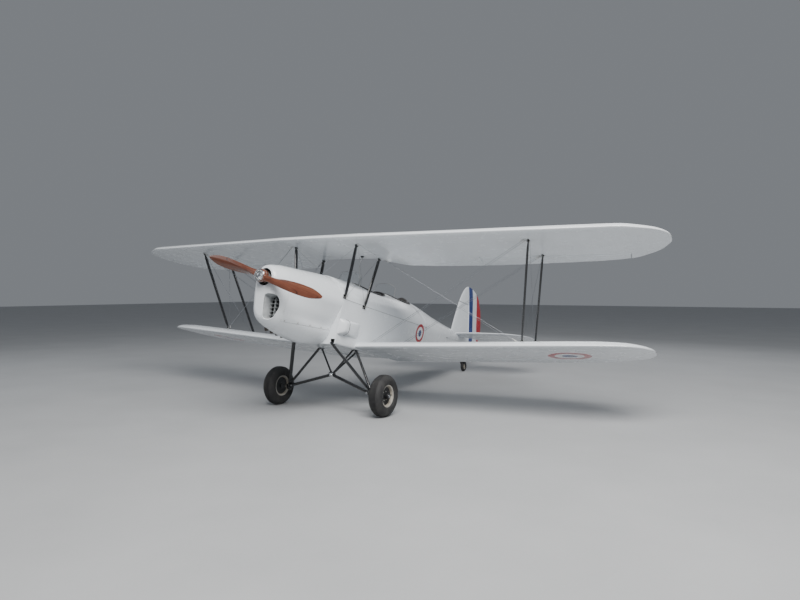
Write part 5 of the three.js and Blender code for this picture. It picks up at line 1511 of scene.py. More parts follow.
def build_struts():
    und = lambda x, y: float(wing_z(UPPER, x, y, False))
    top = lambda x, y: float(wing_z(LOWER, x, y, True))
    fit = Bag()
    cab = {"front": ([412, 1194, -12], [500, 1180, und(500, 1180) + 4], 62, 26), "rear": ([420, 1655, -66], [480, 1800, und(480, 1800) + 4], 62, 26)}
    for n, (a, b, c, t) in cab.items():
        m = strut_mesh(a, b, c, t, 0.6, 0.6, 70)
        piece(f"cabane_{n}_port", m, ["black"], replaces=f"cabane_strut_{n}_port")
        piece(f"cabane_{n}_starboard", flip_x(m), ["black"], replaces=f"cabane_strut_{n}_starboard")
        A, B = np.array(a, float), np.array(b, float); d = (B - A) / np.linalg.norm(B - A)
        # foot plate on the longeron and head bracket
        fx = float(FUS(a[1])[1])
        fit.both(block(fx - 2, fx + 7, a[1] - 34, a[1] + 34, a[2] - 28, a[2] + 22, 3), 0)
        fit.both(rod([fx + 5, a[1], a[2]], [fx + 34, a[1], a[2]], 7, 14, bevel=1.5), 1)
        fit.both(bolt([fx + 33, a[1], a[2]], (1, 0, 0), 8.5, 6), 1)
        for dy in (-24, 24):
            fit.both(bolt([fx + 7, a[1] + dy, a[2] - 14], (1, 0, 0), 5, 4), 1)
        fit.both(block(b[0] - 9, b[0] + 9, b[1] - 30, b[1] + 30, b[2] - 26, b[2] + 3, 3), 0)
        fit.both(rod([b[0] - 20, b[1], b[2] - 14], [b[0] + 20, b[1], b[2] - 14], 5, 12), 1)
    inter = {"front": ((2500, 2110), (2684, 1525), 56, 24), "rear": ((2475, 2745), (2690, 2120), 56, 24)}
    for n, (f, h, c, t) in inter.items():
        a = [f[0], f[1], top(*f) - 4]; b = [h[0], h[1], und(*h) + 3]
        m = strut_mesh(a, b, c, t, 0.45, 0.45, 120)
        piece(f"interplane_{n}_port", m, ["black"], replaces=f"interplane_strut_{n}_port")
        piece(f"interplane_{n}_starboard", flip_x(m), ["black"], replaces=f"interplane_strut_{n}_starboard")
        A, B = np.array(a, float), np.array(b, float); d = (B - A) / np.linalg.norm(B - A)
        for o, s in ((A, 1), (B, -1)):
            fit.both(block(o[0] - 12, o[0] + 12, o[1] - 36, o[1] + 36, o[2] - 5, o[2] + 6, 2.5), 0)
            q = o + d * s * 22
            fit.both(rod(q - [20, 0, 0], q + [20, 0, 0], 5.5, 14), 1)
            for e in (-1, 1):
                fit.both(block(q[0] + e * 13 - 1.6, q[0] + e * 13 + 1.6, q[1] - 17, q[1] + 17, min(q[2], o[2]) - 3, max(q[2], o[2]) + 3, 1.2), 0)
            for dy in (-27, 27):
                fit.both(bolt([o[0], o[1] + dy, o[2] + 6 * s], (0, 0, s), 5, 4), 1)
    piece("strut_fittings", fit, ["black", "plate"])

    # bracing wires: the declared main ones are doubled where the real ones are
    stays = {"front": ([395, 1927], [2655, 1478], [535, 1135], [2455, 2043]), "rear": ([395, 2486], [2645, 2166], [535, 1850], [2430, 2806])}
    for n, (li, uo, ui, lo) in stays.items():
        ends = {"flying": ([li[0], li[1], top(max(li[0], 345), li[1])], [uo[0], uo[1], und(*uo)]),
                "landing": ([ui[0], ui[1], und(*ui)], [lo[0], lo[1], top(*lo)])}
        for kind, (a, b) in ends.items():
            bag = wire_mesh(a, b)
            for s, side in ((1, "port"), (-1, "starboard")):
                q = Bag(); merge(q, bag, s)
                piece(f"{kind}_stay_{n}_{side}", q, ["wire", "plate"], replaces=f"{kind}_wire_{n}_{side}")
    x = Bag()
    for n, (li, uo, ui, lo) in stays.items():
        if n == "front":
            a = [li[0] + 2, li[1] + 46, top(max(li[0], 345), li[1] + 46)]; b = [uo[0], uo[1] + 46, und(uo[0], uo[1] + 46)]
            w = wire_mesh(a, b, 3.0)
            merge(x, w, 1); merge(x, w, -1)
        else:
            a = [li[0] + 2, li[1] - 46, top(max(li[0], 345), li[1] - 46)]; b = [uo[0], uo[1] - 46, und(uo[0], uo[1] - 46)]
            w = wire_mesh(a, b, 3.0)
            merge(x, w, 1); merge(x, w, -1)
    # incidence wires between the front and rear struts of each pair
    f, h = inter["front"][0], inter["front"][1]
    f2, h2 = inter["rear"][0], inter["rear"][1]
    for a, b in (([f[0], f[1] + 30, top(f[0], f[1] + 30) + 12], [h2[0], h2[1] - 30, und(h2[0], h2[1] - 30) - 12]),
                 ([f2[0] + 8, f2[1] - 30, top(f2[0], f2[1] - 30) + 12], [h[0] + 8, h[1] + 30, und(h[0], h[1] + 30) - 12])):
        w = wire_mesh(a, b, 2.4, ends=(50, 50))
        merge(x, w, 1); merge(x, w, -1)
    # cross wires between the cabane struts, in side view and across the front
    ca_f, cb_f = cab["front"][0], cab["front"][1]
    ca_r, cb_r = cab["rear"][0], cab["rear"][1]
    for a, b in (([ca_f[0] + 4, ca_f[1] + 26, ca_f[2] + 18], [cb_r[0], cb_r[1] - 26, cb_r[2] - 22]),
                 ([ca_r[0] + 10, ca_r[1] - 26, ca_r[2] + 18], [cb_f[0] + 8, cb_f[1] + 26, cb_f[2] - 22])):
        w = wire_mesh(a, b, 2.0, ends=(40, 40))
        merge(x, w, 1); merge(x, w, -1)
    w = wire_mesh([ca_f[0] - 8, ca_f[1] - 12, ca_f[2] + 26], [-cb_f[0] + 8, cb_f[1] - 12, cb_f[2] - 20], 2.0, ends=(40, 40))
    merge(x, w, 1)
    w2 = wire_mesh([ca_f[0] - 8, ca_f[1] + 12, ca_f[2] + 26], [-cb_f[0] + 8, cb_f[1] + 12, cb_f[2] - 20], 2.0, ends=(40, 40))
    merge(x, w2, -1)
    piece("secondary_wires", x, ["wire", "plate"])


# ------------------------------------------------------------- landing gear
WHEEL = np.array([873, 1642, -1221.0])


def build_gear():
    foot = np.array([680, 1646, -1190.0])
    head = np.array([300, 1150, -612.0])
    apex = np.array([0, 1679, -1006.0])
    g = Bag()
    g.add(strut_mesh(head, foot + [0, -6, 4], 60, 36, 0.75, 0.7, 90), 0)
    g.add(strut_mesh([276, 1747, -600], foot + [0, 8, 6], 52, 32, 0.75, 0.7, 90), 0)
    g.add(rod([34, apex[1] - 1, apex[2] - 10], [700, WHEEL[1], WHEEL[2] + 2], 21, 24), 0)
    g.add(lathe([(0.01, 0), (19, 0), (19, 4), (19, 262), (0.01, 262)], [676, WHEEL[1], WHEEL[2]], (1, 0, 0), 24), 1)
    g.add(lathe([(19, 0), (40, 0), (43, 3), (43, 35), (40, 38), (19, 38), (19, 0)], [663, WHEEL[1], WHEEL[2]], (1, 0, 0), 32), 0)
    g.add(lathe([(0.01, 216), (13, 216), (15, 219), (19.4, 219), (19.4, 224), (17, 228), (0.01, 230)], [738, WHEEL[1], WHEEL[2]], (1, 0, 0), 24), 1)
    # collars where the tubes meet and at the top fittings
    for t in (0.10, 0.90):
        c = head + (foot - head) * t
        dr = foot - head
        g.add(section_sweep(np.array([c - dr / np.linalg.norm(dr) * 14, c + dr / np.linalg.norm(dr) * 14]), STRUT, (0, 1, 0), np.array([[60, 37], [60, 37]]) * (1.02 if t < 0.5 else 0.92)), 0)
    g.add(lathe([(21, -12), (28, -12), (30, -8), (30, 8), (28, 12), (21, 12), (21, -12)], [640, 1645.5, -1202], np.array([700, WHEEL[1], WHEEL[2] + 2]) - [34, apex[1] - 1, apex[2] - 10], 24), 0)
    # plate, cross bolt and four screws at the top of the rear leg
    y, zt = 1747, float(FUS(1747)[2])
    g.add(block(250, 304, y - 38, y + 38, zt - 4, zt + 3, 2), 0)
    g.add(rod([246, y, zt - 12], [308, y, zt - 12], 8, 14, bevel=1.5), 1)
    for e in (-18, 18):
        for dy in (-30, 30):
            g.add(bolt([277 + e, y + dy, zt - 4], (0, 0, -1), 5, 4), 1)
    # brake or grease fitting, and a tie-down ring
    g.add(lathe([(7, -2.4), (12, -2.4), (12, 2.4), (7, 2.4), (7, -2.4)], [632, 1612, -1208], (0, 1, 0.2), 20), 1)
    for s, side in ((1, "port"), (-1, "starboard")):
        q = Bag(); merge(q, g, s)
        piece(f"gear_legs_{side}", q, ["black", "steel"], replaces=f"main_gear_{side}")
    p = Bag()
    p.add(lathe([(0.01, -33), (24, -33), (27, -30), (27, 30), (24, 33), (0.01, 33)], apex, (1, 0, 0), 32), 1)
    p.add(lathe([(18, -40), (31, -40), (31, -31), (18, -31), (18, -40)], apex, (1, 0, 0), 32), 0)
    p.add(lathe([(18, 31), (31, 31), (31, 40), (18, 40), (18, 31)], apex, (1, 0, 0), 32), 0)
    p.add(bolt(apex + [0, -26, -4], (0, -1, -0.1), 10, 8), 1)
    for e in ([300, 1735, -600], [-300, 1735, -600]):
        p.add(rod(apex, e, 13, 20), 0)
        dd = (np.array(e) - apex) / np.linalg.norm(np.array(e) - apex)
        p.add(rod(apex + dd * 24, apex + dd * 66, 17, 20, 14, 2), 0)
    p.add(rod(apex, [0, 2260, -600], 14, 20), 0)
    zt = float(FUS(2240)[2])
    p.add(block(-34, 34, 2205, 2275, zt - 4, zt + 3, 2), 0)
    piece("gear_pyramid", p, ["black", "steel"], replaces="axle_pyramid")

    # wheels and tyres
    tyre_prof = [(141, -60), (147, -70), (154, -78), (164, -86), (182, -93), (208, -93.2), (226, -86), (243, -73), (256, -56), (263, -44)]
    crown = []
    for h0 in (-34, -17, 0, 17, 34):
        crown += [(269.6 - abs(h0) * 0.10, h0 - 6.0), (269.9 - abs(h0) * 0.08, h0 - 4.4), (269.9 - abs(h0) * 0.08, h0 + 4.4), (269.6 - abs(h0) * 0.10, h0 + 6.0), (263.6 - abs(h0) * 0.08, h0 + 6.6), (263.6 - abs(h0) * 0.08, h0 + 10.4)]
    crown = crown[:-2]
    crown = [(266, -42)] + crown + [(266, 42)]
    back = [(r, -h) for r, h in reversed(tyre_prof)]
    prof = tyre_prof + crown + back + [tyre_prof[0]]
    for s, side in ((1, "port"), (-1, "starboard")):
        c = WHEEL * [s, 1, 1]
        t = Bag()
        t.add(lathe(prof, c, (1, 0, 0), 96), 0)
        for rr, h in ((172, 89.2), (196, 93.2)):
            for sg in (-1, 1):
                t.add(lathe([(rr - 1.6, sg * (h - 2)), (rr - 0.8, sg * (h + 0.9)), (rr + 0.8, sg * (h + 0.9)), (rr + 1.6, sg * (h - 2)), (rr - 1.6, sg * (h - 2))], c, (1, 0, 0), 96), 0)
        piece(f"tyre_{side}_ribbed", t, ["rubber"], body=f"wheel_{side}", replaces=f"tyre_{side}", sharp=50)
        w = Bag()
        w.add(lathe([(118, -40), (124, -52), (127, -62), (131, -66), (142.5, -67), (142.5, 67), (131, 66), (127, 62), (121, 50), (118, 40), (118, -40)], c, (s, 0, 0), 96), 0)
        # the dished centre is painted black, standing in for the shade deep in its recess
        w.add(lathe([(19.6, -78), (42, -78), (44, -76), (44, -52), (60, -48), (112, -42), (119, -41), (119, 29), (112, 26), (60, 20), (46, 22), (40, 28), (39, 80), (36, 84),
                     (19.6, 84), (19.6, -78)], c, (s, 0, 0), 64), 2)
        # dust cap, hub bolts, valve and a ring of lightening holes, drawn as black rings that stand in for the holes'
        # shade
        w.add(lathe([(20, 82), (34, 82), (34, 88), (31, 90), (20, 90), (20, 82)], c, (s, 0, 0), 40), 2)
        for k in range(6):
            a = k * math.pi / 3 + 0.3
            w.add(bolt(c + [s * 21, 58 * math.cos(a), 58 * math.sin(a)], (s, 0, 0), 5.5, 5, True, a), 1)
        for k in range(12):
            a = k * math.pi / 6 + 0.1
            w.add(lathe([(6, 0), (9, 0), (9, 3.2), (6, 1.0), (6, 0)], c + [s * 23, 86 * math.cos(a), 86 * math.sin(a)], (s, 0, 0), 16), 2)
        w.add(rod(c + [s * 26, 108, 20], c + [s * 56, 112, 21], 3.6, 10), 2)
        piece(f"wheel_{side}_hub", w, ["rim", "plate", "black_satin"], body=f"wheel_{side}", replaces=f"wheel_{side}")


# --------------------------------------------------------------------- tail
def slab_profile(n_nose=14, n_flat=16, nose=0.22):
    """Upper half thickness of a tail surface against the fraction of its chord."""
    u = np.concatenate([nose * (1 - np.cos(np.linspace(0, math.pi / 2, n_nose))), np.linspace(nose, 1, n_flat)[1:]])
    t = np.where(u < nose, np.sqrt(np.maximum(0, 1 - ((nose - u) / nose) ** 2)), 1.0)
    return u, t


def tip_stations(xa, xb, n_in, n_tip, xt):
    st = list(np.linspace(xa, xb, n_in))[:-1]
    q = np.linspace(math.sqrt(xt - xb), 0, n_tip)
    return np.array(st + [xt - v * v for v in q])


def build_tail():
    hy = lambda z: 6190 - 0.155 * (z - 275)
    # tailplane
    xt = 1517.0
    T = Table([[40, 5330, 24], [600, 5238, 26], [1060, 5215, 22], [1260, 5262, 17], [1400, 5356, 12], [1480, 5470, 8], [1515, 5600, 5], [xt, 5660, 3.5]], key=lambda v: -np.sqrt(np.maximum(0, xt - v)))
    u, t = slab_profile()
    te = 5839.0
    rings = []
    for x in tip_stations(20, 1060, 44, 26, xt):
        le, r = [float(v) for v in T(max(x, 40))]
        y = le + u * (te - le)
        hh = t * (r + (min(r, 21) - r) * np.clip((u - 0.22) / 0.78, 0, 1))
        f = (x - 60) / 235.0; f -= math.floor(f)
        sag = 1.6 * 4 * f * (1 - f) * np.clip((u - 0.14) / 0.1, 0, 1) * np.clip((1.02 - u) / 0.1, 0, 1) * (1 if r > 10 else 0)
        up = np.stack([np.full(len(u), x), y, 120 + hh - sag], -1)
        lo = np.stack([np.full(len(u), x), y, 120 - hh + sag], -1)
        rings.append(np.vstack([up[::-1], lo[1:]]))
    m = lofted(rings)
    piece("tailplane_fabric_port", m, ["tail_fabric"], replaces="tailplane_port")
    piece("tailplane_fabric_starboard", flip_x(m), ["tail_fabric"], replaces="tailplane_starboard")

    # elevator
    out = spline([[112, 6020], [135, 6140], [170, 6270], [232, 6390], [330, 6440], [500, 6458], [900, 6450], [1200, 6380], [1380, 6250], [1480, 6100], [1512, 5985]], 90)
    out[:, 0] = np.maximum.accumulate(out[:, 0])
    R = Table([[112, 21], [500, 21], [900, 20], [1200, 17], [1380, 13], [1480, 9], [1515, 6]])
    rings = []
    for x, te in out:
        r = float(R(x)[0])
        te2 = max(te, 5868 + r + 20)
        ring = []
        for a in np.radians(np.linspace(90, 270, 15)):
            ring.append((x, 5868 + r * math.cos(a), 120 + r * math.sin(a)))
        f = (x - 60) / 235.0; f -= math.floor(f)
        for s in np.linspace(0, 1, 16)[1:]:
            yy = 5868 + (te2 - 5868) * s
            hh = r + (3.0 - r) * s
            ring.append((x, yy, 120 - hh + 1.5 * 4 * f * (1 - f) * math.sin(math.pi * s)))
        ring.append((x, te2 + 2, 120))
        for s in np.linspace(1, 0, 16)[:-1]:
            yy = 5868 + (te2 - 5868) * s
            hh = r + (3.0 - r) * s
            ring.append((x, yy, 120 + hh - 1.5 * 4 * f * (1 - f) * math.sin(math.pi * s)))
        rings.append(ring)
    e = Bag()
    e.both(lofted(rings), 0)
    e.add(rod([-131, 5868, 120], [131, 5868, 120], 14.2, 24), 1)
    # control horns
    for s in (1, -1):
        e.add(lofted([[[s * 126, 5856, 132], [s * 126, 5882, 132], [s * 126, 5876, 196], [s * 126, 5864, 196]], [[s * 130, 5856, 132], [s * 130, 5882, 132], [s * 130, 5876, 196], [s * 130, 5864, 196]]]), 1)
    piece("elevator_fabric", e, ["tail_fabric", "black"], body="elevator", replaces="elevator")

    # fin
    rings = []
    F = Table([[80, 5330], [216, 5387], [390, 5453], [794, 5634]])
    u, t = slab_profile(nose=0.25)
    for z in np.concatenate([np.linspace(70, 786, 30), [790, 793, 794.5]]):
        f = float(F(max(z, 80))[0]) if z >= 80 else 5326
        a = hy(z) - 30
        r = 20 * (1 if z < 788 else (0.96 if z < 792 else (0.85 if z < 794 else 0.7)))
        y = f + u * (a - f)
        g = (z - 100) / 235.0; g -= math.floor(g)
        sag = 1.5 * 4 * g * (1 - g) * np.clip((u - 0.15) / 0.1, 0, 1) * np.clip((1.02 - u) / 0.1, 0, 1)
        A = np.stack([t * r - sag, y, np.full(len(u), z)], -1)
        B = np.stack([-(t * r - sag), y, np.full(len(u), z)], -1)
        rings.append(np.vstack([A[::-1], B[1:]]))
    piece("fin_fabric", lofted(rings), ["fabric"], replaces="fin")

    # rudder
    edge = spline([[6420, -60], [6560, -10], [6690, 60], [6800, 200], [6843, 400], [6815, 620], [6755, 812], [6700, 900], [6640, 1000], [6540, 1080], [6380, 1140], [6180, 1174]], 120)
    E = lambda z: float(np.interp(z, edge[:, 1], edge[:, 0]))
    rings = []
    for z in np.concatenate([[-60, -58, -54], np.linspace(-44, 809, 62), [812]]):
        y0 = hy(z); te = E(z)
        r = float(np.interp(z, [-60, -20, 40, 620, 812], [16, 20, 23, 22.5, 20]))
        if z < -56:
            r *= 0.8
        ring = []
        for a in np.radians(np.linspace(90, 270, 15)):
            ring.append((r * math.sin(a), y0 + r * math.cos(a), z))
        g = (z - 100) / 235.0; g -= math.floor(g)
        n = 18
        for s in np.linspace(0, 1, n)[1:]:
            w = r + (3.0 - r) * (s ** 1.15) - 1.5 * 4 * g * (1 - g) * math.sin(math.pi * s)
            ring.append((-w, y0 + (te - y0) * s, z))
        ring.append((0, te + 2, z))
        for s in np.linspace(1, 0, n)[:-1]:
            w = r + (3.0 - r) * (s ** 1.15) - 1.5 * 4 * g * (1 - g) * math.sin(math.pi * s)
            ring.append((w, y0 + (te - y0) * s, z))
        rings.append(ring)
    rb = Bag()
    rb.add(lofted(rings), 0)
    zt = 1179.0
    key = lambda v: -np.sqrt(np.maximum(0, zt - v))
    T = Table([[812, 5648, 6755, 20], [900, 5700, 6700, 19], [1000, 5772, 6640, 16], [1080, 5850, 6540, 12], [1140, 5935, 6380, 8], [1176, 6040, 6200, 4], [zt, 6110, 6130, 2]], key=key)
    rings = []
    u = np.concatenate([0.2 * (1 - np.cos(np.linspace(0, math.pi / 2, 14))), np.linspace(0.2, 1, 26)[1:]])
    tt = np.where(u < 0.2, np.sqrt(np.maximum(0, 1 - ((0.2 - u) / 0.2) ** 2)), np.where(u < 0.45, 1.0, 1 - 0.84 * (np.clip((u - 0.45) / 0.55, 0, 1)) ** 1.2))
    q = np.linspace(math.sqrt(zt - 812), 0, 46)
    for z in [812.0, 814.0] + [zt - v * v for v in q[1:]]:
        f, a, r = [float(v) for v in T(z)]
        if z < 813:
            r *= 0.9
        y = f + u * (a - f)
        A = np.stack([tt * r, y, np.full(len(u), z)], -1)
        B = np.stack([-tt * r, y, np.full(len(u), z)], -1)
        rings.append(np.vstack([A[::-1], B[1:]]))
    rb.add(lofted(rings), 0)
    # horns for the cables, low on the rudder
    for s in (1, -1):
        rb.add(lofted([[[s * 18, hy(10) - 10, z], [s * 18, hy(10) + 26, z], [s * 96, hy(10) + 6, z], [s * 96, hy(10) - 8, z]] for z in (8, 12)]), 1)
        rb.add(bolt([s * 88, hy(10) - 1, 12], (0, 0, 1), 4, 4), 1)
    piece("rudder_fabric", rb, ["rudder", "black"], body="rudder", replaces="rudder")

    # hinges between fin and rudder, tailplane and elevator: straps on the fixed side only
    h = Bag()
    for z in (200, 480, 740):
        y0 = hy(z)
        h.add(block(-4, 4, y0 - 38, y0 - 24, z - 14, z + 14, 1.5), 0)
    for x in (300, 760, 1220):
        h.both(block(x - 12, x + 12, 5832, 5845, 116, 124, 1.5), 0)
    # steering cables along the rear fuselage and their fairleads
    for s in (1, -1):
        a = np.array([s * (side_x(4700, -60) + 6), 4700, -60.0])
        b = np.array([s * 90, hy(10) - 34, 10.0])
        pts = np.array([a, a + (b - a) * 0.5 + [s * 2.0, 0, -3], b])
        h.add(tube(spline(pts, 30), 1.6, 8), 1)
        h.add(rod(a - [0, 60, 0], a + [0, 16, 2], 5.5, 14, 4, 1), 0)
        c = a + (b - a) * 0.55
        h.add(rod(c - (b - a) / np.linalg.norm(b - a) * 40 + [s * 1.5, 0, -3], c + (b - a) / np.linalg.norm(b - a) * 40 + [s * 1.5, 0, -3], 3.8, 10), 1)
    piece("tail_hinges_cables", h, ["black", "wire"])

    # tail spring, fork and wheel
    TWY, SWV = 5905, 5850
    a, b = parked(0, SWV, 236), parked(0, SWV, 304)
    sp = Bag()
    c0 = np.array([0, 5500, -246.0]); c1 = np.array([0, a[1] - 6, a[2] + 33])
    for i, (dz, y0, y1, w) in enumerate(((0, 5440, 1.0, 24), (-9, 5450, 0.72, 23), (-18, 5460, 0.45, 22))):
        base = np.array([[0, y0, -232 + dz * 0.6], [0, 5560, -248 + dz], [0, 5700, -254 + dz], [0, c1[1], c1[2] + dz * 0.4]])
        line = spline(base, 30)
        keep = max(6, int(30 * y1))
        line = line[:keep]
        sh = [[-w, -4], [w, -4], [w, 4], [-w, 4]]
        g = [[[p[0] + q[0], p[1], p[2] + q[1]] for q in sh] for p in line]
        sp.add(lofted(g), 0)
    for y in (5505, 5640):
        sp.add(block(-32, 32, y - 14, y + 14, -290, -228, 3), 0)
        for s in (1, -1):
            sp.add(bolt([s * 28, y, -290], (0, 0, -1), 6, 5), 1)
    ax = (b - a) / np.linalg.norm(b - a)
    sp.add(lathe([(12.8, 0), (24, 0), (27, 3), (27, 65), (24, 68), (12.8, 68), (12.8, 0)], a, ax, 32), 0)
    sp.add(lathe([(0.01, 68), (16, 68), (17, 70), (15, 76), (0.01, 77)], a, ax, 24), 1)
    sp.add(block(-24, 24, 5440, 5500, -246, -190, 4), 0)
    piece("tail_spring_leaves", sp, ["black_satin", "plate"], replaces="tail_spring")
    fkb = Bag()
    for s in (1, -1):
        rings = []
        for t in np.linspace(0, 1, 14):
            z = 226 + (88 - 226) * t
            y = SWV + 6 + (TWY - SWV - 6) * min(1, (226 - z) / 110)
            h = 34 - 16 * min(1, t * 1.2)
            x0, x1 = 40 + 1.0 * math.sin(t * math.pi), 51 + 1.0 * math.sin(t * math.pi)
            rings.append([parked(s * x0, y - h, z), parked(s * x1, y - h + 2, z), parked(s * x1, y + h - 2, z), parked(s * x0, y + h, z)])
        fkb.add(lofted(rings), 0)
        fkb.add(lathe([(0.01, 0), (20, 0), (20, 8), (18, 10), (0.01, 10)], parked(s * 50, TWY, 105), (s, 0, 0), 24), 0)
        fkb.add(bolt(parked(s * 59, TWY, 105), (s, 0, 0), 10, 6), 1)
    crown = [[parked(x, y, z) for x, y in ((-52, SWV - 30), (-44, SWV - 36), (44, SWV - 36), (52, SWV - 30), (52, SWV + 34), (44, SWV + 40), (-44, SWV + 40), (-52, SWV + 34))] for z in (219, 221, 231, 233)]
    fkb.add(lofted(crown), 0)
    fkb.add(rod(parked(0, SWV, 226), parked(0, SWV, 303), 12, 20), 1)
    fkb.add(rod(parked(-56, TWY, 105), parked(56, TWY, 105), 9, 18), 1)
    piece("tailwheel_fork_forged", fkb, ["black_satin", "plate"], body="tailwheel_fork", replaces="tailwheel_fork")
    c = parked(0, TWY, 105)
    w = Bag()
    w.add(lathe([(60, -23), (66, -28), (76, -30), (90, -26), (99, -18), (104, -9), (105, 0), (104, 9), (99, 18), (90, 26), (76, 30), (66, 28), (60, 23), (58, 0), (60, -23)], c, (1, 0, 0), 64), 0)
    w.add(lathe([(9.8, -32), (25, -32), (27, -30), (31, -22), (56, -20), (61, -23), (61, 23), (56, 20), (31, 22), (27, 30), (25, 32), (9.8, 32), (9.8, -32)], c, (1, 0, 0), 48), 1)
    for k in range(5):
        t = k * 2 * math.pi / 5
        for s in (1, -1):
            w.add(bolt(c + [s * 21.5, 42 * math.cos(t), 42 * math.sin(t)], (s, 0, 0), 4, 3), 2)
    piece("tailwheel_tyre_hub", w, ["rubber", "rim", "plate"], body="tailwheel", replaces="tailwheel")


# ------------------------------------------------------------------ cockpits
def build_windscreens():
    for name, y0, zb, lean, H in (("front", 1690, 300, 0.42, 165), ("rear", 2655, 335, 0.42, 170)):
        out = spline([[-205, 120], [-165, 62], [-120, 22], [-62, 2], [0, -3], [62, 2], [120, 22], [165, 62], [205, 120]], 60)
        s = np.linspace(-1, 1, len(out))
        g = []
        base = []
        for i, (x, y) in enumerate(out):
            z = zb
            for _ in range(8):
                k = 1.08 + (0.86 - 1.08) * (z - (zb - 130)) / (H + 130)
                X, Y = x * k, y0 + y * k + (z - zb) * lean
                z = float(deck_z(X, Y)) - 1
            base.append((X, Y, z))
            ztop = zb + H * (1 - 0.30 * abs(s[i]) ** 5 - 0.06 * s[i] ** 2) - 2
            col = []
            for t in np.linspace(0, 1, 16):
                zz = z + (ztop - z) * t
                k = 1.08 + (0.86 - 1.08) * (zz - (zb - 130)) / (H + 130)
                col.append((x * k, y0 + y * k + (zz - zb) * lean, zz))
            g.append(col)
        piece(f"windscreen_{name}_acrylic", shell(np.array(g), 3.2, axis=(0, y0 + 300, zb)), ["glass"], replaces=f"windscreen_{name}")
        b = Bag()
        base = np.array(base)
        b.add(tube(base + [0, -1.5, 2.0], 3.8, 10), 0)
        b.add(section_sweep(resample(base, 60), [[-7, -1.2], [7, -1.2], [7, 1.2], [-7, 1.2]], (0, 0, 1)), 0)
        edge = [c for c in g[0]] + [c[-1] for c in g[1:-1]] + [c for c in reversed(g[-1])]
        b.add(tube(resample(np.array(edge), 90), 2.4, 8), 1)
        for i in range(3, 60, 6):
            b.add(bolt(base[i] + [0, -3.2, 5.0], (0, -1, 0.25), 3.0, 2.0, False), 1)
        piece(f"windscreen_{name}_strip", b, ["alu", "plate"])


def soft_box(name, sx, sy, sz, cap, mat, pull=0.12):
    """A pad: crowned, with its sides pulled in between the corners. Swollen by a short cloth run when it may."""
    bm = bmesh.new()
    bmesh.ops.create_cube(bm, size=1.0)
    bmesh.ops.subdivide_edges(bm, edges=list(bm.edges), cuts=9, use_grid_fill=True)
    for v in bm.verts:
        x, y, z = v.co * 2
        ex = 1 - 0.05 * (1 - abs(y) ** 2) ; ey = 1 - 0.05 * (1 - abs(x) ** 2)
        rr = (abs(x) ** 8 + abs(y) ** 8) ** 0.125
        zz = z * (1 - 0.55 * max(0, rr - 0.72) ** 1.5 * 2.0)
        v.co = Vector((x * sx / 2 * ex * (1 - 0.02 * abs(z)), y * sy / 2 * ey * (1 - 0.02 * abs(z)), zz * sz / 2))
    me = bpy.data.meshes.new(name)
    bm.to_mesh(me); bm.free()
    ob = bpy.data.objects.new(name, me)
    SCENE.collection.objects.link(ob)
    dg = bpy.context.evaluated_depsgraph_get
    r = ob.modifiers.new("remesh", "REMESH"); r.mode = "VOXEL"; r.voxel_size = 0.0075
    me2 = bpy.data.meshes.new_from_object(ob.evaluated_get(dg()))
    ob.modifiers.clear(); ob.data = me2
    rest = np.zeros(len(me2.vertices) * 3); me2.vertices.foreach_get("co", rest); rest = rest.reshape(-1, 3)
    c = ob.modifiers.new("cloth", "CLOTH")
    c.settings.quality = 4
    c.settings.use_pressure = True
    c.settings.uniform_pressure_force = 4.0
    c.settings.effector_weights.gravity = 0.0
    c.settings.mass = 0.3
    SCENE.frame_start, SCENE.frame_end = 1, 24
    for f in range(1, 19):
        SCENE.frame_set(f)
    me3 = bpy.data.meshes.new_from_object(ob.evaluated_get(dg()))
    ob.modifiers.clear()
    co = np.zeros(len(me3.vertices) * 3); me3.vertices.foreach_get("co", co); co = co.reshape(-1, 3)
    if len(co) == len(rest):
        d = co - rest; L = np.linalg.norm(d, axis=1, keepdims=True)
        co = rest + d * np.minimum(1, cap / np.maximum(L, 1e-9))
    me3.vertices.foreach_set("co", co.ravel())
    ob.data = me3
    SCENE.frame_set(1)
    s = ob.modifiers.new("sub", "SUBSURF"); s.levels = 1; s.render_levels = 1
    me4 = bpy.data.meshes.new_from_object(ob.evaluated_get(dg()))
    ob.modifiers.clear(); ob.data = me4
    pts = np.zeros(len(me4.vertices) * 3); me4.vertices.foreach_get("co", pts); pts = pts.reshape(-1, 3)
    faces = [tuple(p.vertices) for p in me4.polygons]
    bpy.data.objects.remove(ob)
    return pts * 1000.0, faces


def place(mesh, o, ux, uy, uz):
    p, f = mesh
    o, ux, uy, uz = [np.asarray(v, float) for v in (o, ux, uy, uz)]
    return o + p[:, :1] * ux + p[:, 1:2] * uy + p[:, 2:3] * uz, f


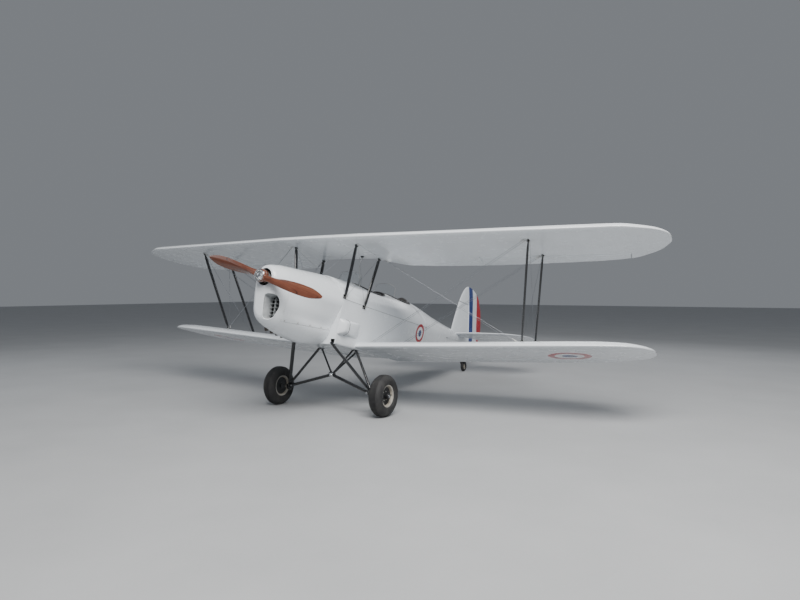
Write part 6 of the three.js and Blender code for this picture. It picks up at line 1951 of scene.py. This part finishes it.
def build_seats():
    f = -532.6
    pan_pad = soft_box("pad_a", 0.370, 0.330, 0.052, 0.010, "cushion")
    back_pad = soft_box("pad_b", 0.360, 0.400, 0.046, 0.010, "cushion")
    for name, y in (("front", 2240), ("rear", 3110)):
        # a bucket of bent sheet: centre line of the pan and back, with raised sides
        line = spline([[y - 200, f + 181], [y - 60, f + 168], [y + 90, f + 156], [y + 150, f + 158], [y + 176, f + 190], [y + 205, f + 340], [y + 243, f + 619]], 46)
        g = []
        for s in np.linspace(-1, 1, 41):
            x = 204 * s
            wing = max(0.0, (abs(s) - 0.80) / 0.20)
            col = []
            for i, (yy, zz) in enumerate(line):
                t = i / (len(line) - 1)
                d = line[min(i + 1, len(line) - 1)] - line[max(i - 1, 0)]
                d = d / np.linalg.norm(d)
                nrm = np.array([-d[1], d[0]])
                up = wing ** 1.6 * 46 * (0.5 + 0.5 * math.sin(min(1, t * 2.2) * math.pi / 2)) * (1 - 0.6 * max(0, (t - 0.7) / 0.3))
                col.append((x - np.sign(s) * 3.0 * wing ** 2, yy + nrm[0] * up, zz + nrm[1] * up))
            g.append(col)
        b = Bag()
        b.add(shell(np.array(g), -2.2, axis=(0, y, f + 500)), 0)
        for s in (-1, 1):
            b.add(lofted([[[s * 158 + dx, y - 180, f + 0.4], [s * 158 + dx, y + 185, f + 0.4], [s * 158 + dx, y + 165, f + 150], [s * 158 + dx, y - 180, f + 178]] for dx in (-2.5, 2.5)]), 0)
            b.add(block(s * 158 - 14, s * 158 + 14, y - 182, y + 186, f + 0.2, f + 4, 1.2), 0)
            for yy in (y - 150, y, y + 150):
                b.add(bolt([s * 158 + 9, yy, f + 4], (0, 0, 1), 5, 4), 1)
        edge = np.array([c[-1] for c in g])
        b.add(tube(edge, 4.2, 12), 0)
        piece(f"seat_bucket_{name}", b, ["alu", "plate"], replaces=f"seat_{name}")
        c = place(pan_pad, [0, y - 26, f + 194], [1, 0, 0], [0, 0.995, -0.09], [0, 0.09, 0.995])
        ob = piece(f"seat_cushion_{name}", c, ["cushion"], sharp=60)
        c = place(back_pad, [0, y + 184, f + 400], [1, 0, 0], [0, 0.135, 0.99], [0, -0.99, 0.135])
        ob = piece(f"seat_back_pad_{name}", c, ["cushion"], sharp=60)
        # harness: two shoulder straps and a lap strap with its buckle
        h = Bag()
        for s in (1, -1):
            pts = spline([[s * 70, y + 262, f + 520], [s * 68, y + 250, f + 628], [s * 66, y + 214, f + 604], [s * 60, y + 160, f + 450], [s * 52, y + 124, f + 300], [s * 40, y + 90, f + 226], [s * 24, y + 20, f + 224]], 60)
            h.add(section_sweep(pts, [[-1.2, -21], [1.2, -21], [1.2, 21], [-1.2, 21]], (0, 0.6, -0.8)), 0)
            h.add(section_sweep(spline([[s * 206, y + 96, f + 176], [s * 190, y + 84, f + 214], [s * 120, y + 24, f + 226], [s * 24, y - 14, f + 226]], 40), [[-21, -1.2], [21, -1.2], [21, 1.2], [-21, 1.2]], (0, 1, 0)), 0)
        h.add(block(-30, 30, y - 36, y + 20, f + 222, f + 231, 3), 1)
        h.add(block(-12, 12, y - 22, y + 6, f + 229, f + 235, 2), 1)
        piece(f"harness_{name}", h, ["webbing", "plate"])
        # control column with its grip, throttle lever on the port side
        k = Bag()
        yc = y - 330
        k.add(tube(spline([[0, yc, f], [0, yc + 4, f + 160], [0, yc + 34, f + 330], [0, yc + 40, f + 420]], 30), 11, 16), 0)
        k.add(tube(spline([[0, yc + 40, f + 405], [0, yc + 42, f + 450], [0, yc + 44, f + 520]], 18), np.concatenate([[13, 15, 16], np.full(12, 16), [15, 13, 9]]), 18), 1)
        k.add(lathe([(0.01, 0), (38, 0), (34, 14), (18, 40), (13, 60), (0.01, 60)], [0, yc, f], (0, 0, 1), 28), 1)
        xs = side_x(y - 180, -200) - 30
        k.add(rod([xs, y - 180, -230], [xs, y - 216, -110], 4.5, 12), 2)
        k.add(lathe([(0.01, -14), (9, -12), (13, -4), (13, 4), (9, 12), (0.01, 14)], [xs, y - 216, -106], (0, 0, 1), 20), 1)
        k.add(block(xs - 4, xs + 14, y - 250, y - 130, -246, -214, 4), 0)
        piece(f"controls_{name}", k, ["grey_paint", "black_satin", "plate"])


def build_panels():
    for name, y in (("front", 1806), ("rear", 2692)):
        half = []
        for a in np.linspace(math.pi / 2, 0.14, 36):
            x, z = arch(y, a, -DECK - 6)
            half.append((float(x), max(float(z), -28)))
        pts = np.array(half)
        pts = pts[pts[:, 1] > -27.9]
        pts = np.vstack([pts, [pts[-1, 0], -30]])
        left = pts[1:][::-1].copy(); left[:, 0] *= -1
        ring = np.vstack([pts, left])
        g = [np.column_stack([ring[:, 0] * k, np.full(len(ring), yy), ring[:, 1] * 1.0]) for yy, k in ((y + 0.2, 1), (y + 6.6, 1), (y + 7.2, 0.995))]
        b = Bag()
        b.add(lofted(g), 0)
        dials = [(-150, 150, 40), (-50, 165, 40), (50, 165, 40), (150, 150, 40), (-100, 60, 40), (0, 68, 40), (100, 60, 40), (-205, 55, 28), (205, 55, 28), (0, 245, 26)]
        for (dx, dz, r) in dials:
            o = np.array([dx, y + 7.2, dz])
            b.add(lathe([(r - 5, 1), (r + 3, 0), (r + 4, 3), (r + 2, 6.5), (r - 2, 7), (r - 5, 4), (r - 5, 1)], o, (0, 1, 0), 40), 1)
            b.add(lathe([(0.01, 0.2), (r - 3, 0.2), (r - 3, 2.2), (0.01, 2.2)], o, (0, 1, 0), 36), 2)
            nt = 12
            for k in range(nt):
                t = math.radians(-135 + 270 * k / (nt - 1))
                c = o + np.array([math.sin(t) * (r - 9), 2.5, math.cos(t) * (r - 9)])
                e = o + np.array([math.sin(t) * (r - 14 if k % 3 == 0 else r - 12), 2.5, math.cos(t) * (r - 14 if k % 3 == 0 else r - 12)])
                b.add(rod(c, e, 0.8, 6), 3)
            t = math.radians((dx * 7 + dz * 3) % 240 - 120)
            b.add(rod(o + [0, 3.2, 0], o + [math.sin(t) * (r - 13), 3.2, math.cos(t) * (r - 13)], 1.0, 6, 0.4), 3)
            b.add(lathe([(0.01, 2), (3.4, 2), (3, 4.4), (0.01, 4.8)], o, (0, 1, 0), 12), 1)
            for q in range(4):
                t = math.radians(45 + 90 * q)
                b.add(lathe([(0.01, 0), (2.6, 0), (2.2, 1.3), (0.01, 1.6)], o + [math.cos(t) * (r + 6.5), 0, math.sin(t) * (r + 6.5)], (0, 1, 0), 10), 4)
        for i, dx in enumerate((-170, -140, -110, 120, 150)):
            b.add(lathe([(0.01, 0), (7, 0), (7, 2), (3, 3), (2.4, 14), (0.01, 16)], [dx, y + 7, -2], (0, 1, 0.15 * (-1) ** i), 12), 4)
        piece(f"instrument_panel_{name}_dials", b, ["panel", "black_satin", "dial", "tick", "plate"], replaces=f"instrument_panel_{name}")


def build_head_pad():
    cy, hl, hw = COCKPITS["rear"]

    def back(x):
        return cy + hl * (1 - (min(abs(x), hw * 0.999) / hw) ** (2 / 0.7)) ** 0.35 - 7
    rings = []
    xs = np.linspace(-150, 150, 49)
    for x in xs:
        e = 1 - (abs(x) / 152) ** 6
        e = max(0.06, e) ** 0.5
        yb = back(x)
        zt = float(deck_z(x, yb))
        f = yb - 98
        top = zt + 39 - 13 * (abs(x) / 150) ** 2
        low = zt - 92
        cy2, cz2 = (f + yb) / 2, (top + low) / 2
        prof = spline([[f + 14, low], [yb - 3, low + 3], [yb, cz2], [yb - 1, top - 16], [yb - 20, top - 1], [cy2, top + 1.5], [f + 16, top - 8], [f, top - 36], [f - 2, cz2], [f + 2, low + 14]], 44, True)
        # four soft quilted channels
        k = math.cos((x / 150) * math.pi * 2.5)
        dent = 1 - 0.035 * (1 - abs(k)) ** 6 * 2
        q = [[x, cy2 + (p[0] - cy2) * e * dent, cz2 + (p[1] - cz2) * e * dent] for p in prof]
        rings.append(q)
    b = Bag()
    b.add(lofted(rings), 0)
    ob = piece("headrest_pad", b, ["leather"], replaces="headrest", sharp=60)
    s = Bag()
    line = [[x, back(x) - 50, float(deck_z(x, back(x))) + 39 - 13 * (abs(x) / 150) ** 2 + 2.0] for x in np.linspace(-136, 136, 50)]
    s.add(tube(line, 2.2, 8), 0)
    piece("headrest_piping", s, ["leather"])


def build_small():
    """Pipes and tank fittings."""
    d = Bag()
    und = lambda x, y: float(wing_z(UPPER, abs(x), y, False))
    top = lambda x, y: float(wing_z(UPPER, abs(x), y, True))
    # fuel filler and gauge on top of the tank, sump and cock under it
    d.add(lathe([(0.01, -4), (38, -4), (38, 6), (34, 12), (20, 15), (0.01, 16)], [0, 1330, top(0, 1330)], (0, 0, 1), 40), 0)
    d.add(lathe([(0.01, 0), (9, 0), (9, 8), (0.01, 9)], [0, 1330, top(0, 1330) + 15], (0, 0, 1), 8), 1)
    d.add(lathe([(0.01, -4), (24, -4), (24, 4), (22, 6), (0.01, 7)], [180, 1450, top(180, 1450)], (0, 0, 1), 30), 1)
    zc = und(270, 1680)
    d.add(lathe([(0.01, 6), (24, 6), (27, 0), (26, -6), (14, -14), (0.01, -15)], [270, 1680, zc], (0, 0, 1), 32), 2)
    d.add(rod([270, 1680, zc - 12], [270, 1680, zc - 34], 8, 14, bevel=1.5), 1)
    piece("tank_fittings", d, ["alu", "plate", "black_satin"])
    p = Bag()
    path = spline([[270, 1680, zc - 30], [262, 1682, zc - 48], [235, 1690, zc - 64], [222, 1705, zc - 110], [212, 1765, 320], [210, 1775, float(deck_z(210, 1775)) + 2]], 90)
    p.add(tube(path, 5.0, 12), 0)
    for i in (2, 30, 60, 86):
        p.add(lathe([(4.6, -8), (8.5, -8), (8.5, 8), (4.6, 8), (4.6, -8)], path[i], path[i + 1] - path[i], 12), 1)
    piece("fuel_pipe", p, ["alu", "plate"])


def build_floor_and_light():
    bpy.ops.mesh.primitive_plane_add(size=1)
    fl = bpy.context.object
    fl.name = "studio_floor"
    me = bpy.data.meshes.new("studio_floor")
    s = 60.0
    me.from_pydata([(-s, -s, 0), (s, -s, 0), (s, s, 0), (-s, s, 0)], [], [(0, 1, 2, 3)])
    old = fl.data
    fl.data = me
    bpy.data.meshes.remove(old)
    fl.data.materials.append(MATS["floor"])
    w = bpy.data.worlds.new("studio")
    SCENE.world = w
    w.use_nodes = True
    bg = w.node_tree.nodes["Background"]
    bg.inputs["Color"].default_value = (0.80, 0.85, 0.92, 1)
    bg.inputs["Strength"].default_value = 0.25

    def area(name, loc, target, size, power, color=(1, 1, 1)):
        l = bpy.data.lights.new(name, "AREA")
        l.shape = "RECTANGLE"
        l.size, l.size_y = size
        l.energy = power
        l.color = color
        o = bpy.data.objects.new(name, l)
        SCENE.collection.objects.link(o)
        d = Vector(target) - Vector(loc)
        o.rotation_euler = d.to_track_quat("-Z", "Y").to_euler()
        o.location = loc
    area("key", (6.0, -7.5, 9.0), (0.5, -0.5, 1.2), (8, 6), 2000, (1, 0.98, 0.95))
    area("fill", (-9.0, -5.0, 6.0), (0, 0, 1.2), (8, 6), 150, (0.92, 0.96, 1.0))
    area("rear", (2.0, 9.0, 7.0), (0, 0, 1.5), (10, 5), 250, (0.95, 0.97, 1.0))


make_materials()
MATS["wood_floor"] = painted("floor_board_paint", (0.16, 0.13, 0.09), (0.5, 0.7), 0.0, wear=(0.3, 0.25, 0.18), scale=18).m
build_nose()
build_cowls()
build_scoop()
build_propeller()
build_fuselage()
build_wings()
build_struts()
build_gear()
build_tail()
build_windscreens()
build_seats()
build_panels()
build_head_pad()
build_small()
build_floor_and_light()

# the two carried-over nodes keep their shape and take a procedural finish
for node, mat in (("engine_block", "iron"), ("firewall", "ply")):
    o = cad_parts[node]
    o.data.materials.clear()
    o.data.materials.append(MATS[mat])
